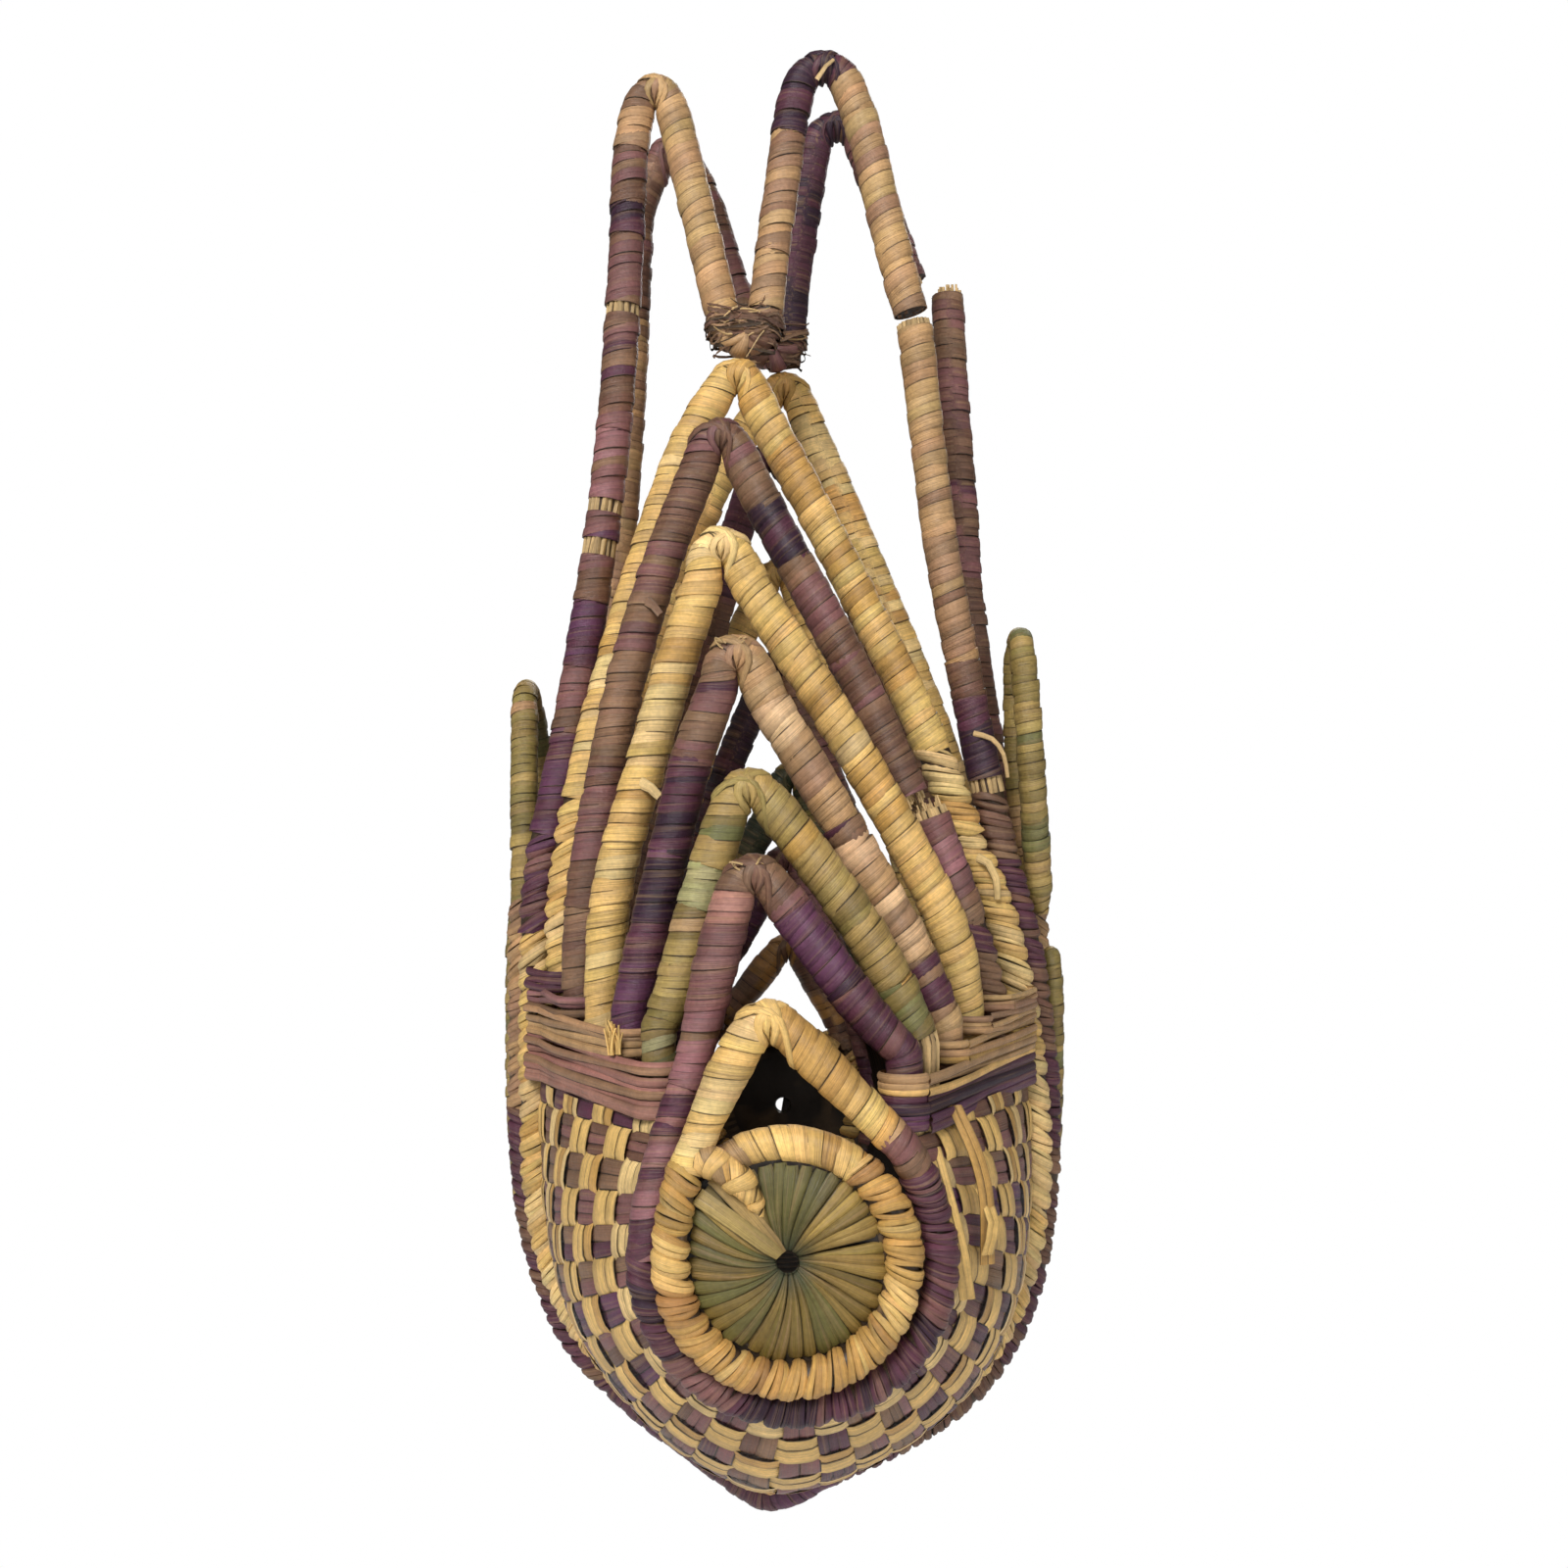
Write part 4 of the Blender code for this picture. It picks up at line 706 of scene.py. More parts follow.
def belt_path():
    right = in_row(BELT_SHARES, 0)
    bottom = place((0, BELT_BOTTOM_SHARE), 0)
    left = [Vector((-point.x, 0, point.z)) for point in reversed(right)]
    tips = in_row(BELT_TIP_SHARES, 0)
    forward = Vector((0, -BELT_ROW, 0))
    front = [point + forward for point in right + [bottom] + left]
    back = [point - forward for point in reversed(right + [bottom] + left)]
    folds = []
    for tip, order in ((tips[1], 1), (tips[0], -1)):
        fold = []
        for step in range(FOLD_STEPS):
            lean = blend(-math.pi, math.pi, (step + 0.5) / FOLD_STEPS) / 2
            fold.append(tip + Vector((0, order * math.sin(lean), math.cos(lean) - 1)) * BELT_ROW)
        folds.append(fold)
    return smooth(front + folds[0] + back + folds[1], closed=True)


class Track:
    """A centre line with its length, its direction, and a front and a side at each point."""

    def __init__(self, points, facing=(0, -1, 0)):
        raw = as_array(points)
        lengths = lengths_along(raw)
        self.length = lengths[-1]
        self.places = np.linspace(0, self.length, max(8, int(self.length / TRACK_STEP)))
        self.points = np.stack([np.interp(self.places, lengths, raw[:, axis]) for axis in range(3)], 1)
        padded = np.pad(unit(np.gradient(self.points, axis=0)), ((1, 1), (0, 0)), mode="edge")
        self.along = unit(padded[:-2] + padded[1:-1] * 2 + padded[2:])
        front = np.array(facing(self.points) if callable(facing) else facing, dtype=float)
        self.front = unit(front - self.along * dot(self.along, front))
        self.side = np.cross(self.along, self.front)
        self.folds = self.find_folds()

    def find_folds(self):
        """The places where the track turns back on itself within a rod's own width."""
        window = 3
        turn = np.zeros(len(self.places))
        aligned = np.sum(self.along[2 * window:] * self.along[:-2 * window], axis=1)
        turn[window:-window] = np.arccos(np.clip(aligned, -1, 1)) / (self.places[2 * window] - self.places[0])
        tight = turn > 1 / FOLD_RADIUS
        folds = []
        start = None
        for index, held in enumerate(list(tight) + [False]):
            if held and start is None:
                start = index
            elif not held and start is not None:
                swing = np.arccos(np.clip(np.dot(self.along[start], self.along[index - 1]), -1, 1))
                middle = (start + index - 1) // 2
                if swing > FOLD_SWING:
                    folds.append((self.places[middle], self.points[middle], self.along[middle]))
                start = None
        return folds

    def mitre(self, points, places):
        """Holds the points on each side of a fold off the other side."""
        for apex, point, normal in self.folds:
            side = np.sum((points - point) * normal, axis=-1)
            before = (places <= apex) & (places > apex - FOLD_REACH) & (side > -FOLD_GAP)
            after = (places > apex) & (places < apex + FOLD_REACH) & (side < FOLD_GAP)
            push = np.where(before, side + FOLD_GAP, 0) + np.where(after, side - FOLD_GAP, 0)
            points = points - push[..., None] * normal
        return points

    def slim(self, radius):
        """The radius by place, drawn in where the track is folded."""
        base = np.full(len(self.places), radius)
        for apex, _, _ in self.folds:
            base = base * (1 - FOLD_SLIM * np.exp(-((self.places - apex) / FOLD_SLIM_REACH) ** 2))
        return lambda places: np.interp(places, self.places, base)

    def at(self, places, table):
        return np.stack([np.interp(places, self.places, table[:, axis]) for axis in range(3)], -1)

    def around(self, places, reach, angles):
        """Points at a reach from the track, turned from its front to its side."""
        point = self.at(places, self.points)
        point = point + self.at(places, self.front) * (reach * np.cos(angles))[..., None]
        point = point + self.at(places, self.side) * (reach * np.sin(angles))[..., None]
        return self.mitre(point, places)

    def near(self, x_share, z_share):
        """The length at which the track passes nearest to a place."""
        aim = place((x_share, z_share), 0)
        gap = (self.points[:, 0] - aim.x) ** 2 + (self.points[:, 2] - aim.z) ** 2
        return self.places[int(np.argmin(gap))]


class Strips:
    """Raffia strips gathered into one mesh, each with its dye and its own map."""

    def __init__(self):
        self.points = []
        self.faces = []
        self.dyes = []
        self.maps = []
        self.count = 0

    def add(self, grid, dye, across, along, seed):
        """grid is rows of points along the strip; dye is one colour or one for each row."""
        rows, columns = grid.shape[:2]
        index = np.arange(rows * columns).reshape(rows, columns) + self.count
        quads = np.stack([index[:-1, :-1], index[:-1, 1:], index[1:, 1:], index[1:, :-1]], -1)
        self.points.append(grid.reshape(-1, 3))
        self.faces.append(quads.reshape(-1, 4))
        colour = np.asarray(dye, dtype=float)
        if colour.ndim == 1:
            colour = np.broadcast_to(colour, (rows, 3))
        self.dyes.append(np.repeat(colour[:, None, :], columns, 1).reshape(-1, 3))
        places = np.empty((rows, columns, 3))
        places[..., 0] = np.asarray(along)[:, None]
        places[..., 1] = np.asarray(across)[None, :]
        places[..., 2] = np.broadcast_to(np.asarray(seed, dtype=float), (rows,))[:, None]
        self.maps.append(places.reshape(-1, 3))
        self.count += rows * columns

    def build(self, node, kind):
        """Makes the mesh that replaces a node. A node of the back half is turned half round."""
        name = f"{node}_{kind}"
        points = np.concatenate(self.points)
        if node.startswith("back"):
            points = points * HALF_ROUND
        faces = np.concatenate(self.faces)
        mesh = bpy.data.meshes.new(name)
        mesh.vertices.add(len(points))
        mesh.vertices.foreach_set("co", points.ravel())
        mesh.loops.add(faces.size)
        mesh.loops.foreach_set("vertex_index", faces.ravel())
        mesh.polygons.add(len(faces))
        mesh.polygons.foreach_set("loop_start", np.arange(0, faces.size, 4))
        mesh.update(calc_edges=True)
        mesh.validate()
        dyes = np.concatenate(self.dyes)
        colour = mesh.attributes.new("dye", "FLOAT_COLOR", "POINT")
        colour.data.foreach_set("color", np.concatenate([dyes, np.ones((len(dyes), 1))], 1).ravel())
        strip = mesh.attributes.new("strip", "FLOAT_VECTOR", "POINT")
        strip.data.foreach_set("vector", np.concatenate(self.maps).ravel())
        mesh.shade_smooth()
        mesh.set_sharp_from_angle(angle=SHARP_ANGLE)
        mesh.materials.append(raffia())
        made = show(name, mesh)
        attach(made, "root")
        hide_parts(node)


def show(name, data):
    made = bpy.data.objects.new(name, data)
    bpy.context.collection.objects.link(made)
    return made


def raffia():
    """Dyed raffia: fibres along each strip, faded patches, and painted shade along the edges where strips
    meet.
    """
    made = bpy.data.materials.get("raffia")
    if made:
        return made
    made = bpy.data.materials.new("raffia")
    made.use_nodes = True
    nodes = made.node_tree.nodes
    links = made.node_tree.links
    shader = nodes["Principled BSDF"]
    shader.inputs["Specular IOR Level"].default_value = 0.42
    shader.inputs["Sheen Weight"].default_value = 0.0

    def node(kind, **values):
        new = nodes.new("ShaderNode" + kind)
        for key, value in values.items():
            if hasattr(new, key):
                setattr(new, key, value)
            else:
                new.inputs[key.replace("_", " ")].default_value = value
        return new

    def maths(operation, first, second, clamp=False):
        new = node("Math", operation=operation, use_clamp=clamp)
        for socket, value in zip(new.inputs, (first, second)):
            if isinstance(value, (int, float)):
                socket.default_value = value
            else:
                links.new(value, socket)
        return new.outputs[0]

    def times(first, second, clamp=False):
        return maths("MULTIPLY", first, second, clamp)

    def plus(first, second):
        return maths("ADD", first, second)

    def less(first, second):
        return maths("SUBTRACT", first, second)

    dye = node("Attribute", attribute_name="dye")
    strip = node("Attribute", attribute_name="strip")
    parts = node("SeparateXYZ")
    links.new(strip.outputs["Vector"], parts.inputs[0])
    along, across, seed = parts.outputs

    def streaks(length, width, shift, detail):
        spot = node("CombineXYZ")
        links.new(times(along, length), spot.inputs[0])
        links.new(times(across, width), spot.inputs[1])
        links.new(times(seed, shift), spot.inputs[2])
        made_noise = node("TexNoise", Scale=1.0, Detail=detail, Roughness=0.6)
        links.new(spot.outputs[0], made_noise.inputs["Vector"])
        return made_noise.outputs["Fac"]

    def gain(value, middle, slope, clamp=False):
        return times(less(value, middle), slope, clamp)

    fibres = streaks(70.0, 15.0, 7.31, 3.0)
    splits = streaks(28.0, 30.0, 4.17, 1.0)
    stains = streaks(26.0, 3.5, 2.33, 3.0)
    breaks = streaks(60.0, 0.0, 3.19, 2.0)
    place_at = node("TexCoord")
    patches = node("TexNoise", Scale=140.0, Detail=3.0, Roughness=0.55)
    links.new(place_at.outputs["Object"], patches.inputs["Vector"])
    specks = node("TexNoise", Scale=1100.0, Detail=2.0, Roughness=0.5)
    links.new(place_at.outputs["Object"], specks.inputs["Vector"])

    tone = plus(1.0, gain(fibres, 0.5, 1.15))
    tone = times(tone, plus(1.0, gain(patches.outputs["Fac"], 0.5, 0.9)))
    tone = times(tone, plus(1.0, gain(specks.outputs["Fac"], 0.5, 0.5)))
    tone = times(tone, less(1.0, gain(splits, 0.60, 3.2, clamp=True)))
    # Painted shade: a thin dark line, broken in places, along each strip's leading edge where it steps over
    # the strip before
    line = times(less(0.105, across), 18.0, clamp=True)
    line = times(line, gain(breaks, 0.36, 7.0, clamp=True))
    tone = times(tone, less(1.0, times(line, 0.86)))
    # Painted shade towards each strip's trailing edge, which lies under the next strip
    shade = less(1.0, times(maths("POWER", across, 6.0), 0.35))
    tone = times(tone, shade)

    colour = node("Mix", data_type="RGBA", blend_type="MIX")
    links.new(gain(stains, 0.50, 2.2, clamp=True), colour.inputs["Factor"])
    links.new(dye.outputs["Color"], colour.inputs["A"])
    colour.inputs["B"].default_value = STAIN
    worn = node("VectorMath", operation="SCALE")
    links.new(colour.outputs["Result"], worn.inputs[0])
    links.new(tone, worn.inputs["Scale"])
    links.new(worn.outputs[0], shader.inputs["Base Color"])

    rough = plus(times(fibres, 0.45), 0.24)
    links.new(rough, shader.inputs["Roughness"])
    bump = node("Bump", Strength=0.6, Distance=0.0003)
    grain = plus(fibres, times(specks.outputs["Fac"], 0.4))
    links.new(less(grain, times(splits, 0.6)), bump.inputs["Height"])
    links.new(bump.outputs["Normal"], shader.inputs["Normal"])
    return made


def pick_dyes(count, palette, rng, hold=0.45):
    """A dye for each strip in turn, out of a palette, with runs of the same."""
    names = list(palette)
    shares = np.array(list(palette.values()), dtype=float)
    chosen = []
    current = rng.choice(len(names), p=shares / shares.sum())
    for _ in range(count):
        if rng.random() > hold:
            current = rng.choice(len(names), p=shares / shares.sum())
        colour = np.array(DYES[names[current]]) * rng.uniform(0.84, 1.14)
        colour = colour * (1 + rng.uniform(-0.04, 0.04, 3))
        chosen.append(colour)
    return np.array(chosen)


def wind(strips, track, start, end, radius, palette, rng, pitch=0.0032, lean=0.0, overlap=1.3):
    """Winds strips round a track. lean tilts them at the front."""
    turns = (end - start) / pitch + 1
    steps = int(turns * AROUND) + 1
    phase = np.linspace(-math.pi, FULL_TURN * turns - math.pi, steps)
    turn = np.floor((phase + math.pi) / FULL_TURN).astype(int)
    count = turn[-1] + 1
    knots = np.arange(count + 2)
    slack = np.cumsum(rng.normal(0, PITCH_SLACK * pitch, count + 2))
    slack -= np.linspace(0, slack[-1], count + 2)
    slack = np.clip(slack, -MOST_SLACK * pitch, MOST_SLACK * pitch)
    centre = start + pitch * phase / FULL_TURN
    centre = centre + np.interp(phase / FULL_TURN + 0.5, knots, slack)
    leans = lean + np.interp(phase / FULL_TURN + 0.5, knots, rng.normal(0, LEAN_SLACK, count + 2))
    centre = centre + radius(centre) * np.tan(leans) * np.sin(phase)
    width = pitch * overlap * rng.uniform(*WIDTH_RANGE, count)[turn]
    dyes = pick_dyes(count, palette, rng)[turn]
    shift = rng.normal(0, LIFT_SLACK, count)[turn]
    wave = 0.0001 * np.sin(phase * 0.37) + LIFT_SLACK * np.sin(phase * 1.71)
    grid = np.empty((steps, len(STRIP_PROFILE), 3))
    for column, (across, rise) in enumerate(STRIP_PROFILE):
        places = np.clip(centre + (across - 0.5) * width, start, end)
        reach = radius(places) - STRIP_LIFT + rise * STRIP_LIFT + shift + wave
        grid[:, column] = track.around(places, reach, phase)
    strips.add(grid, dyes, [across for across, _ in STRIP_PROFILE], phase * MAP_PER_RADIAN, turn)


def stitches(strips, track, start, end, radius, palette, rng, pitch=0.0044, count=3, width=0.0015,
             slant=0.35, spread=0.35, notch=0.12, outer=1, swell=0.05, leaf=0.35, slants=None):
    """Bundles of strips sewn round a coil, plump in their middle, which fan out on its outer side."""
    angles = np.linspace(-math.pi, math.pi, AROUND + 5)
    away = 0.5 + 0.5 * outer * np.sin(angles)
    belly = 1 - leaf + leaf * np.cos(angles * 0.6) ** 2
    total = max(1, round((end - start) / pitch))
    dyes = pick_dyes(total * count, palette, rng, hold=0.6)
    for number in range(total):
        middle = start + (number + 0.5) * (end - start) / total + rng.normal(0, 0.06 * pitch)
        tilt = (slants[number % len(slants)] if slants else slant) + rng.normal(0, 0.07)
        stout = rng.uniform(0.96, 1.04)
        for strand in range(count):
            lane = strand - (count - 1) / 2 + rng.normal(0, 0.08)
            centre = middle + lane * width * 0.9 * (1 - spread + 2 * spread * away) * belly
            whole = radius(centre)
            centre = centre + whole * math.tan(tilt) * np.sin(angles) + rng.normal(0, 0.00008)
            sway = rng.normal(0, 0.00012) * np.sin(angles * 2 + rng.uniform(0, 6))
            grid = np.empty((len(angles), len(STITCH_SPOTS), 3))
            for column, across in enumerate(STITCH_SPOTS):
                offset = (across - 0.5) * width * (1 - spread / 2 + spread * away) * (0.6 + 0.4 * belly)
                places = np.clip(centre + offset + sway, END_INSET, track.length - END_INSET)
                from_middle = (lane * width * 0.9 + (across - 0.5) * width) / (pitch / 2)
                from_middle = np.clip(from_middle, -1.2, 1.2)
                out = whole * stout * (1 + swell * away) * (1 - notch * from_middle ** 2)
                out = out + STITCH_CROWN[column] + 0.00012 * from_middle
                grid[:, column] = track.around(places, out, angles)
            dye = dyes[number * count + strand]
            along = angles * MAP_PER_RADIAN + number
            strips.add(grid, dye, STITCH_SPOTS, along, number + strand * 0.31)


def bare(strips, track, start, end, radius, rng):
    """A stretch without winding, where the straws of the core show."""
    places = np.linspace(start, end, max(3, int((end - start) / 0.0015)))
    rows = np.broadcast_to(places[:, None], (len(places), len(STRAW_SPOTS)))
    for straw in range(CORE_STRAWS):
        turn = FULL_TURN * (straw + rng.uniform(-0.2, 0.2)) / CORE_STRAWS
        turn = turn + rng.normal(0, 0.05) * np.linspace(0, 1, len(places))
        angles = turn[:, None] + STRAW_SPOTS * math.pi / CORE_STRAWS * 1.1
        reach = radius(rows) - 0.00055 + STRAW_CROWN + rng.normal(0, 0.0001)
        dye = np.array(DYES["straw"]) * rng.uniform(0.6, 1.1)
        grid = track.around(rows, reach, angles)
        strips.add(grid, dye, STRAW_SPOTS / 2 + 0.5, places, rng.random() * 9)


def fray(strips, track, rng, sense, length, dye):
    """Straws that stand out of a rod's broken end; sense is +1 at its end and -1 at its start."""
    at = np.array([track.length if sense > 0 else 0.0])
    along = track.at(at, track.along)[0] * sense
    base = track.at(at, track.points)[0] - along * FRAY_ROOT
    length = length + FRAY_ROOT
    straws(strips, base, along, FRAY_STRAWS, length, 0.0012, rng, bundle=FRAY_REACH, dye=dye)


def core(strips, track, start, end, radius, sides=10, inset=0.0006):
    """The rod's core under the winding, coloured in painted shade where it shows between the strips."""
    places = np.linspace(start, end, max(3, int((end - start) / 0.003)))
    reach = radius(places) - inset
    angles = np.linspace(0, FULL_TURN, sides + 1)
    middle = track.at(places, track.points)
    front = track.at(places, track.front)
    side = track.at(places, track.side)
    grid = middle[:, None] + reach[:, None, None] * (
        np.cos(angles)[None, :, None] * front[:, None] + np.sin(angles)[None, :, None] * side[:, None])
    grid = track.mitre(grid, np.broadcast_to(places[:, None], grid.shape[:2]))
    strips.add(grid, DYES["core"], np.linspace(0.2, 0.8, sides + 1), places, 3.0)
    for row, place_at in ((0, middle[0]), (-1, middle[-1])):
        cap = np.stack([grid[row], np.broadcast_to(place_at, grid[row].shape)])
        strips.add(cap, DYES["core"], np.linspace(0.2, 0.8, sides + 1), [0, 0.002], 3.0)


def straws(strips, base, along, count, length, spread, rng, bundle=0.0032, dye="straw", thick=0.00042):
    """A bundle of bare straws that stands out of a broken rod."""
    along = np.array(along) / np.linalg.norm(along)
    first = np.cross(along, (0.3, 1.0, 0.2))
    first /= np.linalg.norm(first)
    second = np.cross(along, first)
    for _ in range(count):
        away = bundle * math.sqrt(rng.random())
        turn = rng.random() * FULL_TURN
        offset = first * math.cos(turn) * away + second * math.sin(turn) * away
        reach = length * rng.uniform(0.45, 1.1)
        drift = (first * rng.normal() + second * rng.normal()) * spread
        bow = (first * rng.normal() + second * rng.normal()) * spread * 0.6
        share = np.linspace(0, 1, 5)[:, None]
        middle = np.array(base) + offset + along * reach * share
        middle = middle + drift * reach * share ** 2 + bow * reach * share ** 3
        angles = np.linspace(0, FULL_TURN, 6)
        radius = thick * rng.uniform(0.7, 1.2)
        ring = first * np.cos(angles)[:, None] + second * np.sin(angles)[:, None]
        grid = middle[:, None] + ring[None] * radius * np.linspace(1, 0.75, 5)[:, None, None]
        colour = np.array(DYES[dye]) * rng.uniform(0.7, 1.15)
        strips.add(grid, colour, np.linspace(0.3, 0.7, 6), np.linspace(0, reach, 5), rng.random() * 9)


def ribbon(strips, middle, across, width, dye, outward=None, seed=0.0, curl=0.00018, columns=4):
    """A flat strip along a line of points; across is its sideways direction at each."""
    middle = np.asarray(middle)
    across = np.asarray(across)
    run = np.gradient(middle, axis=0)
    normal = unit(np.cross(run, across), 1e-12)
    if outward is not None:
        flip = np.sign(dot(normal, outward))
        flip[flip == 0] = 1
        normal = normal * flip
    width = np.broadcast_to(np.asarray(width, dtype=float), (len(middle),))
    spots = np.linspace(-0.5, 0.5, columns)
    grid = np.empty((len(middle), columns, 3))
    for column, spot in enumerate(spots):
        crown = curl * (1 - (2 * spot) ** 2)
        grid[:, column] = middle + across * (width * spot)[:, None] + normal * crown
    strips.add(grid, dye, spots + 0.5, lengths_along(middle), seed)


def tapered(track):
    """The rod's radius by length: thin in the ring and at the feet."""
    ring_share = RING_DIAMETER / ROD_DIAMETER
    shares = []
    for x, y, z in track.points:
        low = band_top(-y, x) if y > THIN_SHARE * LOOP_2_TUCK - RING_2_ROW else WALL_TOP
        shares.append(blend(ring_share, 1, ease((z - low) / TAPER_LENGTH)))
    return np.array(shares) * ROD_DIAMETER / 2


def dropped(radius, end):
    """The radius, let down a little past an end, where the next run covers it."""
    return lambda places: radius(places) - RUN_DROP * (places > end)


def dress(node, track, radius, tip=None, extra=None):
    """Winds one rod from end to end and builds it."""
    slot, seed, segments = DRESSINGS.get(node) or DRESSINGS[node.split("_", 1)[1]]
    rng = np.random.default_rng(seed + BACK_SEED * node.startswith("back"))
    strips = Strips()
    radius = track.slim(radius)
    core(strips, track, END_INSET, track.length - END_INSET, radius)
    start = 0.0
    runs = []
    for number, (limit, winding, palette) in enumerate(segments):
        limit = tip if limit == TIP else limit
        end = track.length * limit if isinstance(limit, float) else track.near(*limit)
        after = segments[number + 1][1] if number + 1 < len(segments) else "bare"
        if end - start > SHORTEST_RUN:
            if winding == "bare":
                bare(strips, track, start, end, radius, rng)
            elif winding in STITCHES:
                stitches(strips, track, start, end, radius, palette, rng, **STITCHES[winding])
            else:
                high = end + RUN_OVERLAP * (after != "bare")
                wind(strips, track, start, high, dropped(radius, end), palette, rng, **WINDINGS[winding])
            runs.append((start, end, palette))
            start = end
    for apex, point, normal in track.folds:
        palette = next((held for low, high, held in runs if low <= apex + 0.004 <= high and held), None)
        if palette and point[2] > WALL_TOP + 0.02 and normal[0] > 0.5 and not node.startswith("side"):
            stitches(strips, track, apex - 0.0022, apex + 0.0042,
                lambda places: radius(places) * 1.03 + 0.0002, palette, rng, **FOLD_STITCHES)
    if extra:
        extra(strips, track, rng)
    if node in BROKEN_ENDS:
        fray(strips, track, rng, *BROKEN_ENDS[node])
    if node in LOOSE_ENDS:
        spots, width, dye = LOOSE_ENDS[node]
        row = -track.at(np.array([track.near(*spots[0][:2])]), track.points)[0][1]
        line = as_array(smooth([place(spot[:2], row + spot[2]) for spot in spots]))
        across = unit(np.cross(np.gradient(line, axis=0), (0.2, 1.0, 0.1)))
        width = width * np.linspace(1, 0.7, len(line))
        ribbon(strips, line, across, width, DYES[dye], seed=3.3, curl=0.0004)
    strips.build(node, "wound")


def worn_tip(tip):
    """Short straws that stick out of a loop's worn tip."""
    def dressing(strips, track, rng):
        apex = track.at(np.array([track.near(*tip)]), track.points)[0]
        for sway in (-1, 1):
            base = apex + np.array((sway * 0.0012 - 0.0010, -0.0030, 0.0016))
            along = (sway * 0.8 - 0.3, -0.3, 0.5)
            straws(strips, base, along, 5, 0.0026, 0.25, rng, bundle=0.0010, thick=0.00022)

    return dressing


def half_rods(back):
    """All the wound rods of one half, and the knot of its handle."""
    side = "back" if back else "front"
    loops, hoop = (BACK_LOOPS, BACK_HOOP) if back else (FRONT_LOOPS, FRONT_HOOP)
    tips = {f"loop_{number}": tip for number, (_, tip, _) in loops.items()}
    paths = {"loop_1": loop_1_path(loops)}
    paths["loop_2"] = loop_2_path(paths["loop_1"], loops)
    for number in (3, 4, 5, 6):
        left, tip, right = loops[number]
        if number == 6 and back:
            right = right + LOOP_6_WHOLE_LEG_SHARES
        paths[f"loop_{number}"] = arch_path(number, left, tip, right, back or number != 6)
    if not back:
        paths["loop_6_stump"] = stump_path()
    paths["loop_7"] = loop_7_path(loops)
    border = coil_path(paths["loop_7"], BORDER_SHARES, BORDER_ROW)
    paths["border_coil"] = border
    *legs, whole_hoop = hoop_paths(border, hoop)
    if back:
        paths["handle_leg"], paths["handle_hoop"] = legs[0], whole_hoop
    else:
        pieces = cut_path(whole_hoop, BREAK_SHARE * HEIGHT - HANG_HEIGHT, BREAK_GAP)
        paths["handle_hoop"], paths["handle_leg"] = pieces
    keel = coil_path(whole_hoop, KEEL_SHARES, KEEL_ROW)
    paths["keel_coil"] = keel
    for piece, path in paths.items():
        track = Track(path)
        tip = tips.get(piece)
        radius = (COIL_DIAMETER if "coil" in piece else HOOP_DIAMETER) / 2
        if piece.startswith("loop"):
            radius = tapered(track)
        extra = {"loop_1": rim, "loop_2": worn_tip(tip), "loop_4": worn_tip(tip)}.get(piece)
        dress(f"{side}_{piece}", track, radius, tip, extra)
    knot(side, hoop, whole_hoop, back)
    return paths["loop_2"], border, keel


def rim(strips, _, rng):
    """The rim's twisted end over the rosette, and sheets of painted shade in the hollow behind both rings."""
    centre = np.array(place(ROSETTE_SHARES, RING_1_ROW))
    tail = Track(smooth([place(spot[:2], RING_1_ROW + spot[2]) for spot in TWIST]))
    thin = lambda places: np.interp(places, (0, tail.length * 0.55, tail.length), (0.0032, 0.0027, 0.0012))
    core(strips, tail, 0, tail.length, thin, inset=0.0004)
    wind(strips, tail, 0, tail.length, thin, GOLDS, rng, pitch=0.0030, lean=0.60, overlap=1.25)
    wind(strips, tail, 0.002, tail.length - 0.002, lambda places: thin(places) + 0.0003, YELLOWS, rng,
        pitch=0.0064, lean=-0.55, overlap=0.42)
    for first, last, inner, outer, depths in (
            (-0.6, 6.9, ROSETTE_RADIUS - 0.003, RING_1_RADIUS, (0.0014, 0.0018)),
            (-3.4, 0.4, RING_1_RADIUS, RING_2_RADIUS, (0.0018, RING_STEP - 0.0002))):
        ring = ring_of(np.linspace(first, last, 60))
        sheet = np.stack([centre + ring * inner + np.array([0, depths[0], 0]),
                          centre + ring * outer + np.array([0, depths[1], 0])])
        strips.add(sheet, DYES["shade"], np.linspace(0.3, 0.7, 60), [0, 0.01], 5.0)


def crossings(path, height):
    """The points where a path passes a height, from left to right."""
    found = []
    for start, end in zip(path, path[1:]):
        if (start.z - height) * (end.z - height) < 0:
            found.append(blend(start, end, (height - start.z) / (end.z - start.z)))
    return sorted(found, key=lambda point: point.x)


